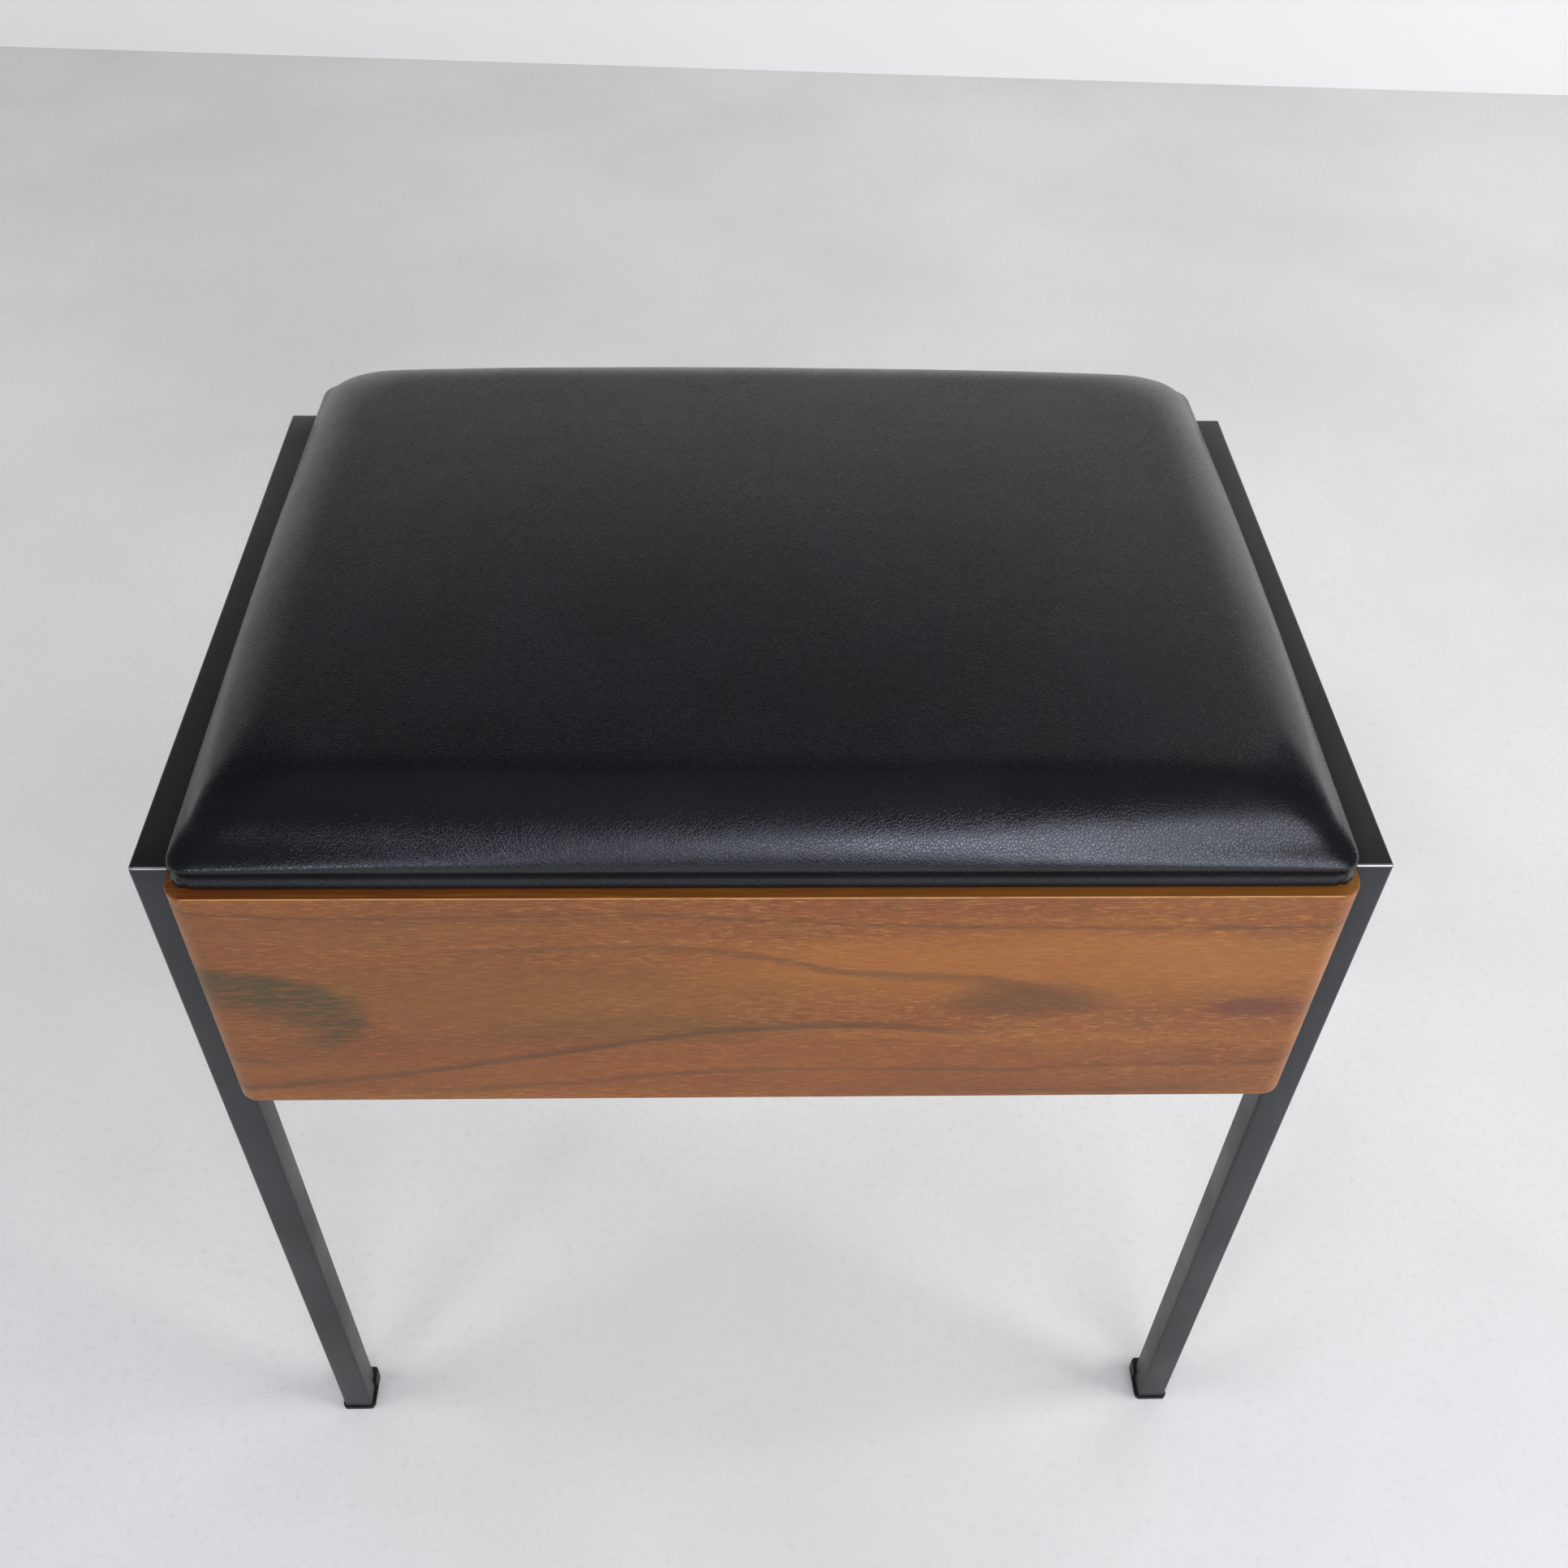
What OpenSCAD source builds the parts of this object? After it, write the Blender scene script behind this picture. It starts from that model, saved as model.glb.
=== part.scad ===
// Sewing stool: a veneered box hung between two square tube frames,
// closed by a hinged upholstered lid, with a sliding sewing tray inside.
// +Z is up, -Y is the front, +X is to the right of someone facing the front.
// The origin is on the floor, midway between the four feet.

/* [Frame] */
// Width over the two side frames
stool_w = 460; // [430:1:500]
// Depth of a side frame, from front leg to rear leg
frame_d = 300; // [280:1:310]
// Height of the rails and of the box rim above the floor
rim_h = 450; // [400:1:470]
// Outside width of the square steel tube
tube_w = 15; // [12:1:18]
// Wall of the steel tube
tube_wall = 1.5; // [1:0.1:2]
// Outside corner radius of the steel tube
tube_r = 1.5; // [1:0.1:2]

/* [Feet] */
// Thickness of a foot's flange under the leg
foot_t = 2.2; // [1.5:0.1:4]
// How far the flange stands proud of the tube
foot_proud = 0.8; // [0.4:0.1:1.5]
// Height of the heel that wraps the back of the leg
heel_h = 9; // [6:0.5:12]
// How far the heel stands out behind the leg
heel_deep = 4.5; // [2:0.5:6]

/* [Box] */
// Depth of the box, front face to rear face
box_d = 330; // [318:1:350]
// Height of the box
box_h = 125; // [115:1:150]
// Thickness of the box panels
panel_t = 12; // [11:0.5:14]
// Radius of the box's upright corners
box_r = 9; // [6:0.5:9]
// Radius that breaks the outside arrises of the panels
arris_r = 0.8; // [0.4:0.1:1.2]
// Thickness of the bottom panel
bottom_t = 4; // [3:0.5:6]
// Height of the bottom panel above the lower edge of the box
bottom_up = 6; // [5:0.5:10]

/* [Lid] */
// Gap between the side of the lid and the side of the box
lid_side_gap = 1.7; // [1.5:0.1:4]
// Gap between the front or rear edge of the lid and the face of the box
lid_end_gap = 4.2; // [4.2:0.1:5]
// Corner radius of the lid seen from above
lid_r = 8; // [6:1:14]
// Gap between the lid and the rim it closes on
lid_lift = 0.3; // [0.3:0.1:1]
// Thickness of the lid board
board_t = 7; // [5:0.5:7.5]
// Thickness of the leather cloth cover
cover_t = 1; // [0.8:0.1:1.2]
// Height of the upright edge of the lid before the pad curves in
edge_h = 4.7; // [3:0.1:6]
// Rise of the rounded side of the pad
pad_rise = 30; // [20:1:35]
// How far the rounded side of the pad reaches in from the edge
pad_run = 31; // [20:1:40]
// Extra height of the crown in the middle of the seat
crown = 3; // [0:0.5:6]

/* [Hinges] */
// Length of a hinge
hinge_l = 50; // [40:5:60]
// Distance of a hinge from the middle of the stool
hinge_x = 140; // [90:5:160]
// Outside diameter of the hinge barrel
barrel_d = 3.8; // [3.6:0.1:3.9]
// Diameter of the hinge pin
pin_d = 1.9; // [1.7:0.1:2]
// Thickness of a hinge leaf
leaf_t = 1; // [0.8:0.1:1]
// Width of a hinge leaf from the pin's axis
leaf_w = 9; // [8:0.5:9.5]

/* [Tray] */
// Length of the tray along its runners
tray_l = 198; // [160:2:200]
// Height of the tray
tray_h = 42; // [30:6:42]
// Thickness of the tray's walls
tray_wall = 6; // [5:0.5:7]
// Thickness of the tray's bottom and dividers
tray_thin = 3; // [3:0.5:4]
// Number of fingers in each corner joint
finger_count = 7; // [5:2:9]
// Radius of the finger scoop in each end of the tray
scoop_r = 26; // [20:1:30]

/* [Hidden] */
$fn = 48;
// Small length that carries a cut past the face it opens
past = 1;

// Frame and box, worked out from the driving sizes
box_w = stool_w - 2 * tube_w;
box_low = rim_h - box_h;
inner_w = box_w - 2 * panel_t;
inner_d = box_d - 2 * panel_t;
groove = 5;
bottom_z = box_low + bottom_up;
leg_x = stool_w / 2 - tube_w / 2;
leg_y = frame_d / 2 - tube_w / 2;
plug_h = 14;
rib_count = 3;
rib_t = 1.2;
foot_r = 2;
heel_proud = 0.5;
heel_wrap = 4;
plug_slack = 2;
plug_r = 1;
tube_bore_r = 0.5;

// Screws that pull the box sides against the legs
frame_screw_r = 2.4;
frame_screw_head_r = 4.4;
frame_screw_head_h = 2.4;
frame_screw_l = 16;
frame_screw_in = 30;
frame_screw_z = [box_low + frame_screw_in, rim_h - frame_screw_in];

// Dowels in the butt joints of the box
dowel_r = 3;
dowel_in_face = 8;
dowel_in_end = 16;
dowel_in = 22;
dowel_z = [box_low + dowel_in, box_low + box_h / 2, rim_h - dowel_in];

// Runners that carry the tray
runner_w = 8;
runner_h = 10;
runner_drop = 50;
runner_top = rim_h - runner_drop;

// Lid, from its underside up
lid_z = rim_h + lid_lift;
lid_a = box_w / 2 - lid_side_gap;
lid_b = box_d / 2 - lid_end_gap;
board_z = lid_z + cover_t;
board_gap = 0.8;
foam_gap = 0.1;
pad_z = lid_z + edge_h;
flange_w = 22;
corner_grow = 0.73;
// Share of the pad's rise that its corners lose, and how close to a corner that loss keeps
corner_drop = 0.15;
corner_power = 6;
// How far the sides of the pad draw in towards its corners, and the heights over its upright edge
// between which that comes on. It starts above the board, whose edge lies just inside the cover.
corner_bow = 5;
bow_from = 4;
bow_to = 15;

// Lining, and the staples that hold it and the cover, counted along a long and a short edge
lining_t = 0.8;
lining_in = 14;
staple_w = 9;
staple_t = 0.5;
staple_leg = 5;
staple_corner = 30;
cover_staple_in = 18;
cover_staple_count = [10, 7];
lining_staple_in = 26;
lining_staple_count = [8, 5];
lining_z = lid_z - staple_t - lining_t;

// Steps round a corner, along a side, up the rounded side of the pad and over its top
corner_steps = 5;
side_steps = 4;
rise_steps = 8;
top_steps = 4;
// Half width of the innermost ring of points on top
top_half = 8;

// Hinge axis, in the notch at the rear of the rim
barrel_in = 0.2;
axis_y = box_d / 2 - barrel_d / 2 - barrel_in;
axis_z = lid_z - barrel_d / 2;
knuckle_count = 5;
knuckle_gap = 0.2;
knuckle_l = hinge_l / knuckle_count;
pin_clear = 0.05;
barrel_clear = 0.3;
hinge_screw_r = 1.1;
hinge_screw_head_r = 2;
hinge_screw_l = 12;
lid_screw_l = 6.5;
hinge_screw_in = 7;
hinge_screw_x = [-hinge_l / 2 + hinge_screw_in, 0, hinge_l / 2 - hinge_screw_in];
hinge_screw_reach = 5.4;
hinge_screw_y = axis_y - hinge_screw_reach;

// Tray, resting at the left end of the runners
tray_side_gap = 1;
tray_d = inner_d - 2 * tray_side_gap;
tray_x = -inner_w / 2 + tray_side_gap;
tray_up = 0.3;
tray_z = runner_top + tray_up;
finger_h = tray_h / finger_count;
tray_floor_up = 4;
tray_floor = tray_z + tray_floor_up;
narrow_share = 0.4;
long_wall = tray_x + tray_l * narrow_share;
divider_low = 8;
divider_top = tray_z + tray_h - divider_low;
cross_y = [-tray_d / 6, tray_d / 6];

// Thread pegs, from the long divider and from the front of the tray
peg_r = 2.5;
peg_h = 34;
peg_first = [24, 28];
peg_step = [35, 40];
peg_count = [3, 2];

// Flat shapes and small parts that several pieces share

module rounded_plan(w, d, r) {
    square([w - 2 * r, d], center = true);
    square([w, d - 2 * r], center = true);
    for (x = [-1, 1], y = [-1, 1])
        translate([x * (w / 2 - r), y * (d / 2 - r)]) circle(r);
}

module tube_section() {
    difference() {
        rounded_plan(tube_w, tube_w, tube_r);
        rounded_plan(tube_w - 2 * tube_wall, tube_w - 2 * tube_wall, tube_bore_r);
    }
}

// A countersunk screw, its head's flat face at z = 0 and its shank below
module screw(r, head_r, head_h, length) {
    translate([0, 0, -length]) cylinder(h = length, r = r);
    translate([0, 0, -head_h]) cylinder(h = head_h, r1 = r, r2 = head_r);
}

// The frame

// A rail and its legs meet in mitres: the side view is cut from the tube
module mitred(side_view) {
    intersection() {
        children();
        rotate([90, 0, 90]) linear_extrude(tube_w + 2 * past, center = true) polygon(side_view);
    }
}

module top_rail(side) {
    outer = frame_d / 2;
    inner = outer - tube_w;
    color("#1c1c1e") translate([side * leg_x, 0, 0])
        mitred([[-inner, rim_h - tube_w], [inner, rim_h - tube_w], [outer, rim_h], [-outer, rim_h]])
            translate([0, outer, rim_h - tube_w / 2]) rotate([90, 0, 0])
                linear_extrude(frame_d) tube_section();
}

module leg(side, end) {
    outer = end * frame_d / 2;
    inner = end * (frame_d / 2 - tube_w);
    color("#2a2b2d") translate([side * leg_x, 0, 0]) difference() {
        mitred([[outer, 0], [outer, rim_h], [inner, rim_h - tube_w], [inner, 0]])
            translate([0, end * leg_y, foot_t]) linear_extrude(rim_h - foot_t) tube_section();
        for (z = frame_screw_z)
            translate([-side * (tube_w / 2 + past), end * leg_y, z]) rotate([0, side * 90, 0])
                cylinder(h = tube_wall + 2 * past, r = frame_screw_r);
    }
}

// A moulded foot: a flange under the tube, a heel round the inner back of it and a ribbed plug inside it
module foot(side, end) {
    foot_w = tube_w + 2 * foot_proud;
    heel_w = foot_w + 2 * heel_proud;
    heel_start = tube_w / 2 - heel_wrap;
    bore = tube_w - 2 * tube_wall;
    core = bore - plug_slack;
    color("#121212") translate([side * leg_x, end * leg_y, 0]) mirror([0, end > 0 ? 1 : 0, 0]) {
        linear_extrude(foot_t) rounded_plan(foot_w, foot_w, foot_r);
        linear_extrude(foot_t) heel_plan(heel_w);
        linear_extrude(heel_h) difference() {
            heel_plan(heel_w);
            translate([-tube_w, -tube_w]) square([2 * tube_w, tube_w + heel_start]);
            square(tube_w, center = true);
        }
        linear_extrude(foot_t + plug_h) rounded_plan(core, core, plug_r);
        for (k = [1:rib_count])
            translate([0, 0, foot_t + k * plug_h / (rib_count + 1)])
                linear_extrude(rib_t) rounded_plan(bore, bore, tube_bore_r);
    }
}

// Plan of the heel, which reaches out behind the leg
module heel_plan(width) {
    translate([0, heel_deep / 2]) rounded_plan(width, tube_w + heel_deep, foot_r);
}

module frame_screws() {
    color("#b9b9b6")
        for (side = [-1, 1], end = [-1, 1], z = frame_screw_z)
            translate([side * inner_w / 2, end * leg_y, z]) rotate([0, -side * 90, 0])
                screw(frame_screw_r, frame_screw_head_r, frame_screw_head_h, frame_screw_l);
}

// The box

// What is taken off a convex arris of radius arris_r at the origin, to the right of it and above it
module arris_section() {
    difference() {
        translate([-arris_r, -arris_r]) square(arris_r + past);
        translate([-arris_r, -arris_r]) circle(arris_r);
        translate([-2 * arris_r, -2 * arris_r]) square([arris_r, 3 * arris_r]);
        translate([-2 * arris_r, -2 * arris_r]) square([3 * arris_r, arris_r]);
    }
}

// The cut that breaks the top outside arris of a box face with its two round corners
module arris_cut() {
    straight = box_w - 2 * box_r;
    for (x = [-1, 1])
        translate([x * straight / 2, box_d / 2 - box_r, rim_h]) mirror([x < 0 ? 1 : 0, 0, 0])
            rotate_extrude(angle = 90) translate([box_r, 0]) arris_section();
    translate([-straight / 2, box_d / 2, rim_h]) rotate([90, 0, 90])
        linear_extrude(straight) arris_section();
}

// Front or back panel: end is -1 at the front and 1 at the back
module face_panel(end) {
    mirror([0, end < 0 ? 1 : 0, 0]) difference() {
        translate([0, 0, box_low]) linear_extrude(box_h) intersection() {
            rounded_plan(box_w, box_d, box_r);
            translate([-box_w / 2, inner_d / 2]) square([box_w, panel_t]);
        }
        arris_cut();
        translate([0, 0, 2 * rim_h - box_h]) mirror([0, 0, 1]) arris_cut();
        translate([-inner_w / 2 - groove, inner_d / 2 - past, bottom_z])
            cube([inner_w + 2 * groove, groove + past, bottom_t]);
        for (x = [-1, 1], z = dowel_z)
            translate([x * (box_w - panel_t) / 2, inner_d / 2 - past, z]) rotate([-90, 0, 0])
                cylinder(h = dowel_in_face + past, r = dowel_r);
    }
}

module box_front() {
    color("#8a5a33") face_panel(-1);
}

// The notch in the rim that takes both leaves of a hinge, deeper under the barrel
module hinge_notch() {
    translate([-hinge_l / 2, axis_y - leaf_w, axis_z - barrel_d / 2])
        cube([hinge_l, box_d / 2 - axis_y + leaf_w + past, barrel_d + past]);
    translate([-hinge_l / 2, axis_y - barrel_d / 2 - barrel_clear, axis_z - barrel_d / 2 - barrel_clear])
        cube([hinge_l, box_d / 2 - axis_y + barrel_d + past, barrel_d]);
}

module box_back() {
    color("#8a5a33") difference() {
        face_panel(1);
        for (side = [-1, 1]) translate([side * hinge_x, 0, 0]) hinge_notch();
        hinge_box_screw_set();
    }
}

module box_side(side) {
    color("#84552f") difference() {
        translate([side * (box_w - panel_t) / 2 - panel_t / 2, -inner_d / 2, box_low])
            cube([panel_t, inner_d, box_h]);
        translate([side * inner_w / 2 - groove, -inner_d / 2 - past, bottom_z])
            cube([2 * groove, inner_d + 2 * past, bottom_t]);
        for (end = [-1, 1], z = dowel_z)
            translate([side * (box_w - panel_t) / 2, end * inner_d / 2, z]) rotate([end * 90, 0, 0])
                cylinder(h = dowel_in_end, r = dowel_r);
        for (end = [-1, 1], z = frame_screw_z)
            translate([side * inner_w / 2, end * leg_y, z]) rotate([0, -side * 90, 0])
                screw(frame_screw_r, frame_screw_head_r, frame_screw_head_h, panel_t + past);
    }
}

module box_bottom() {
    color("#b08a5c") translate([-inner_w / 2 - groove, -inner_d / 2 - groove, bottom_z])
        cube([inner_w + 2 * groove, inner_d + 2 * groove, bottom_t]);
}

module box_dowels() {
    color("#c9a878")
        for (x = [-1, 1], end = [-1, 1], z = dowel_z)
            translate([x * (box_w - panel_t) / 2, end * (inner_d / 2 + dowel_in_face), z])
                rotate([end * 90, 0, 0]) cylinder(h = dowel_in_face + dowel_in_end, r = dowel_r);
}

module runner(end) {
    color("#b98a58")
        translate([-inner_w / 2, end * (inner_d - runner_w) / 2 - runner_w / 2, runner_top - runner_h])
            cube([inner_w, runner_w, runner_h]);
}

// The hinges

// Knuckles number first, first + 2 and so on, and their leaf, flat on the lower side of the barrel
module hinge_leaf(first) {
    length = knuckle_l - knuckle_gap;
    difference() {
        union() {
            translate([-hinge_l / 2, -leaf_w, -barrel_d / 2])
                cube([hinge_l, leaf_w - barrel_d / 2 - barrel_clear, leaf_t]);
            for (k = [first:2:knuckle_count - 1])
                translate([-hinge_l / 2 + k * knuckle_l + knuckle_gap / 2, 0, 0]) {
                    rotate([0, 90, 0]) cylinder(h = length, d = barrel_d);
                    translate([0, -leaf_w, -barrel_d / 2]) cube([length, leaf_w, leaf_t]);
                }
        }
        translate([-hinge_l / 2 - past, 0, 0]) rotate([0, 90, 0])
            cylinder(h = hinge_l + 2 * past, d = pin_d + 2 * pin_clear);
        for (x = hinge_screw_x)
            translate([x, hinge_screw_y - axis_y, leaf_t - barrel_d / 2])
                screw(hinge_screw_r, hinge_screw_head_r, leaf_t, hinge_screw_l);
    }
}

module hinge_box_leaf(side) {
    color("#a98a4a") translate([side * hinge_x, axis_y, axis_z]) hinge_leaf(0);
}

module hinge_lid_leaf(side) {
    color("#a98a4a") translate([side * hinge_x, axis_y, axis_z]) mirror([0, 0, 1]) hinge_leaf(1);
}

module hinge_pin(side) {
    color("#9c8042") translate([side * hinge_x - hinge_l / 2, axis_y, axis_z])
        rotate([0, 90, 0]) cylinder(h = hinge_l, d = pin_d);
}

module hinge_box_screw_set() {
    for (side = [-1, 1], x = hinge_screw_x)
        translate([side * hinge_x + x, hinge_screw_y, axis_z - barrel_d / 2 + leaf_t])
            screw(hinge_screw_r, hinge_screw_head_r, leaf_t, hinge_screw_l);
}

module hinge_lid_screw_set() {
    for (side = [-1, 1], x = hinge_screw_x)
        translate([side * hinge_x + x, hinge_screw_y, axis_z + barrel_d / 2 - leaf_t])
            rotate([180, 0, 0]) screw(hinge_screw_r, hinge_screw_head_r, leaf_t, lid_screw_l);
}

module hinge_box_screws() {
    color("#b59a5c") hinge_box_screw_set();
}

module hinge_lid_screws() {
    color("#b59a5c") hinge_lid_screw_set();
}

// The lid

// Points round a rounded rectangle of half sizes a and b, anticlockwise from above, closer
// together near its corners
function outline(a, b, r) = [
    for (c = [0:3])
        let (
            x = (c == 0 || c == 3 ? 1 : -1) * (a - r),
            y = (c < 2 ? 1 : -1) * (b - r),
            turn = 90 * c,
            along = [-sin(turn + 90), cos(turn + 90)] * 2 * (c % 2 == 0 ? a - r : b - r),
            last = [x + r * cos(turn + 90), y + r * sin(turn + 90)]
        )
        each concat(
            [for (k = [0:corner_steps])
                [x + r * cos(turn + 90 * k / corner_steps), y + r * sin(turn + 90 * k / corner_steps)]],
            [for (k = [1:side_steps]) last + along * (1 - cos(180 * k / (side_steps + 1))) / 2]
        )
];

// Height of the pad over a point of its plan, where lift runs from 0 at the edge to 1 on top
function pad_height(p, lift, inset) =
    let (u = p.x / lid_a, v = p.y / lid_b)
    pad_z + (pad_rise - inset) * lift * (1 - corner_drop * pow(abs(u * v), corner_power))
        + crown * lift * (1 - u * u) * (1 - v * v);

// Inset from the edge and lift of each ring of points, up the side and then over the top
function ring_inset(k) =
    k <= rise_steps ? pad_run * (1 - cos(90 * k / rise_steps))
        : pad_run + (lid_b - pad_run - top_half) * (k - rise_steps) / top_steps;
function ring_lift(k) = k <= rise_steps ? sin(90 * k / rise_steps) : 1;

// Share of the bow that a ring of this lift takes, from 0 at the edge to 1 above bow_to
function bow_share(lift) =
    let (t = max(0, min(1, (pad_rise * lift - bow_from) / (bow_to - bow_from))))
    t * t * (3 - 2 * t);

// A point of a ring, drawn in more the closer it is to a corner
function bowed(p, lift) =
    let (u = p.x / lid_a, v = p.y / lid_b, bow = corner_bow * bow_share(lift))
    [p.x * (1 - bow * v * v / lid_a), p.y * (1 - bow * u * u / lid_b)];

// The rings of points of the pad, inset all round, from its upright edge to its top
function pad_rings(inset) = [
    for (k = [0:rise_steps + top_steps])
        let (
            a = lid_a - inset - ring_inset(k),
            b = lid_b - inset - ring_inset(k),
            r = min(lid_r + corner_grow * ring_inset(k), b - past)
        )
        [
            for (p = outline(a, b, r))
                let (q = bowed(p, ring_lift(k)))
                [q.x, q.y, pad_height(p, ring_lift(k), inset)]
        ]
];
function pad_peak(inset) = [0, 0, pad_height([0, 0], 1, inset)];

// A level ring round the lid, inset all round
function level_ring(inset, z) =
    [for (p = outline(lid_a - inset, lid_b - inset, lid_r)) [p.x, p.y, z]];

function reversed(list) = [for (k = [len(list) - 1:-1:0]) list[k]];

// A closed form skinned over rings of as many points each, from a first point to a last one.
// Each band is cut along the same diagonal whether its rings rise or fall, so that the foam and
// the inside of the cover stay parallel.
module ring_stack(first, rings, last) {
    count = len(rings[0]);
    top = len(rings) - 1;
    points = concat([first], [for (ring = rings) each ring], [last]);
    start_fan = [for (i = [0:count - 1]) [0, 1 + i, 1 + (i + 1) % count]];
    bands = [
        for (k = [0:top - 1], i = [0:count - 1])
            let (
                here = 1 + k * count + i,
                next = 1 + k * count + (i + 1) % count,
                falls = points[here].z > points[here + count].z
            )
            each falls ? [[here, here + count, next], [next, here + count, next + count]]
                : [[here, here + count, next + count], [here, next + count, next]]
    ];
    end_fan = [
        for (i = [0:count - 1])
            [1 + top * count + i, 1 + (top + 1) * count, 1 + top * count + (i + 1) % count]
    ];
    polyhedron(points, concat(start_fan, bands, end_fan));
}

module lid_plan(inset) {
    rounded_plan(2 * (lid_a - inset), 2 * (lid_b - inset), lid_r);
}

module lid_board() {
    color("#a77d4c") difference() {
        translate([0, 0, board_z]) linear_extrude(board_t) lid_plan(cover_t + board_gap);
        hinge_lid_screw_set();
    }
}

module seat_foam() {
    inset = cover_t + foam_gap;
    color("#d9c9a0") difference() {
        ring_stack([0, 0, lid_z], concat([level_ring(inset, lid_z)], pad_rings(inset)), pad_peak(inset));
        translate([-box_w / 2, -box_d / 2, lid_z - past])
            cube([box_w, box_d, board_z + board_t - lid_z + past]);
    }
}

// The cover wraps the pad and the edge of the board and turns under it in a flange.
// Its skin runs from the peak inside, down and round the flange, and up to the peak outside.
module seat_cover() {
    inside = concat(reversed(pad_rings(cover_t)), [level_ring(cover_t, board_z)]);
    flange = [level_ring(flange_w, board_z), level_ring(flange_w, lid_z), level_ring(0, lid_z)];
    color("#17181b")
        ring_stack(pad_peak(cover_t), concat(inside, flange, pad_rings(0)), pad_peak(0));
}

module staple(face_z) {
    translate([-staple_w / 2, -staple_t / 2, face_z - staple_t]) cube([staple_w, staple_t, staple_t]);
    for (x = [-1, 1])
        translate([x * (staple_w - staple_t) / 2 - staple_t / 2, -staple_t / 2, face_z - staple_t])
            cube([staple_t, staple_t, staple_leg]);
}

// Staples along the four edges, at a distance in from the edge of the lid
module staple_rows(in, count, face_z) {
    pitch = 2 * [(lid_a - staple_corner) / count.x, (lid_b - staple_corner) / count.y];
    for (y = [-1, 1], k = [0:count.x - 1])
        translate([(k - (count.x - 1) / 2) * pitch.x, y * (lid_b - in), 0]) staple(face_z);
    for (x = [-1, 1], k = [0:count.y - 1])
        translate([x * (lid_a - in), (k - (count.y - 1) / 2) * pitch.y, 0])
            rotate([0, 0, 90]) staple(face_z);
}

module cover_staples() {
    color("#8f8f8c") staple_rows(cover_staple_in, cover_staple_count, lid_z);
}

module lid_lining() {
    color("#3a3532") translate([0, 0, lining_z]) linear_extrude(lining_t) lid_plan(lining_in);
}

module lining_staples() {
    color("#a5a5a2") staple_rows(lining_staple_in, lining_staple_count, lining_z);
}

// The tray

// Fingers along the height of a tray corner: odd is 0 for the lowest finger, 1 for the next
module tray_fingers(odd) {
    for (k = [odd:2:finger_count - 1])
        translate([0, 0, tray_z + k * finger_h]) cube([tray_wall, tray_wall, finger_h]);
}

module tray_end(x) {
    color("#c79a62") difference() {
        union() {
            translate([x, -tray_d / 2 + tray_wall, tray_z])
                cube([tray_wall, tray_d - 2 * tray_wall, tray_h]);
            translate([x, -tray_d / 2, 0]) tray_fingers(0);
            translate([x, tray_d / 2 - tray_wall, 0]) tray_fingers(0);
        }
        translate([x - past, 0, tray_z + tray_h + scoop_r / 2]) rotate([0, 90, 0])
            cylinder(h = tray_wall + 2 * past, r = scoop_r);
        tray_bottom_form();
    }
}

module tray_long_wall(end) {
    y = end * (tray_d - tray_wall) / 2 - tray_wall / 2;
    color("#c79a62") difference() {
        union() {
            translate([tray_x + tray_wall, y, tray_z]) cube([tray_l - 2 * tray_wall, tray_wall, tray_h]);
            translate([tray_x, y, 0]) tray_fingers(1);
            translate([tray_x + tray_l - tray_wall, y, 0]) tray_fingers(1);
        }
        tray_bottom_form();
    }
}

module tray_bottom_form() {
    reach = tray_wall / 2;
    translate([tray_x + reach, -tray_d / 2 + reach, tray_floor - tray_thin])
        cube([tray_l - 2 * reach, tray_d - 2 * reach, tray_thin]);
}

module tray_bottom() {
    color("#d2ab76") tray_bottom_form();
}

// Divider from front to back, slotted from above where the cross dividers drop in
module tray_long_divider() {
    color("#c79a62") difference() {
        translate([long_wall - tray_thin / 2, -tray_d / 2 + tray_wall, tray_floor])
            cube([tray_thin, tray_d - 2 * tray_wall, divider_top - tray_floor]);
        for (y = cross_y)
            translate([long_wall - tray_thin, y - tray_thin / 2, (tray_floor + divider_top) / 2])
                cube([2 * tray_thin, tray_thin, divider_top]);
    }
}

// Two dividers along the tray, slotted from below where they cross the long one
module tray_cross_dividers() {
    color("#c79a62") for (y = cross_y) difference() {
        translate([tray_x + tray_wall, y - tray_thin / 2, tray_floor])
            cube([tray_l - 2 * tray_wall, tray_thin, divider_top - tray_floor]);
        translate([long_wall - tray_thin / 2, y - tray_thin, tray_floor - past])
            cube([tray_thin, 2 * tray_thin, (divider_top - tray_floor) / 2 + past]);
    }
}

// Pegs for thread reels, in the wide compartment at the front
module thread_pegs() {
    color("#d8b582")
        for (i = [0:peg_count.x - 1], j = [0:peg_count.y - 1])
            translate([
                long_wall + peg_first.x + peg_step.x * i,
                -tray_d / 2 + peg_first.y + peg_step.y * j,
                tray_floor
            ])
                cylinder(h = peg_h, r = peg_r);
}

top_rail(-1);  // left_top_rail
top_rail(1);  // right_top_rail
leg(-1, -1);  // left_front_leg
leg(-1, 1);  // left_rear_leg
leg(1, -1);  // right_front_leg
leg(1, 1);  // right_rear_leg
foot(-1, -1);  // left_front_foot
foot(-1, 1);  // left_rear_foot
foot(1, -1);  // right_front_foot
foot(1, 1);  // right_rear_foot
frame_screws();
box_front();
box_back();
box_side(-1);  // box_left_side
box_side(1);  // box_right_side
box_bottom();
box_dowels();
runner(-1);  // front_runner
runner(1);  // rear_runner
hinge_box_leaf(-1);  // left_hinge_box_leaf
hinge_box_leaf(1);  // right_hinge_box_leaf
hinge_pin(-1);  // left_hinge_pin
hinge_pin(1);  // right_hinge_pin
hinge_box_screws();
hinge_lid_leaf(-1);  // left_hinge_lid_leaf
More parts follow.
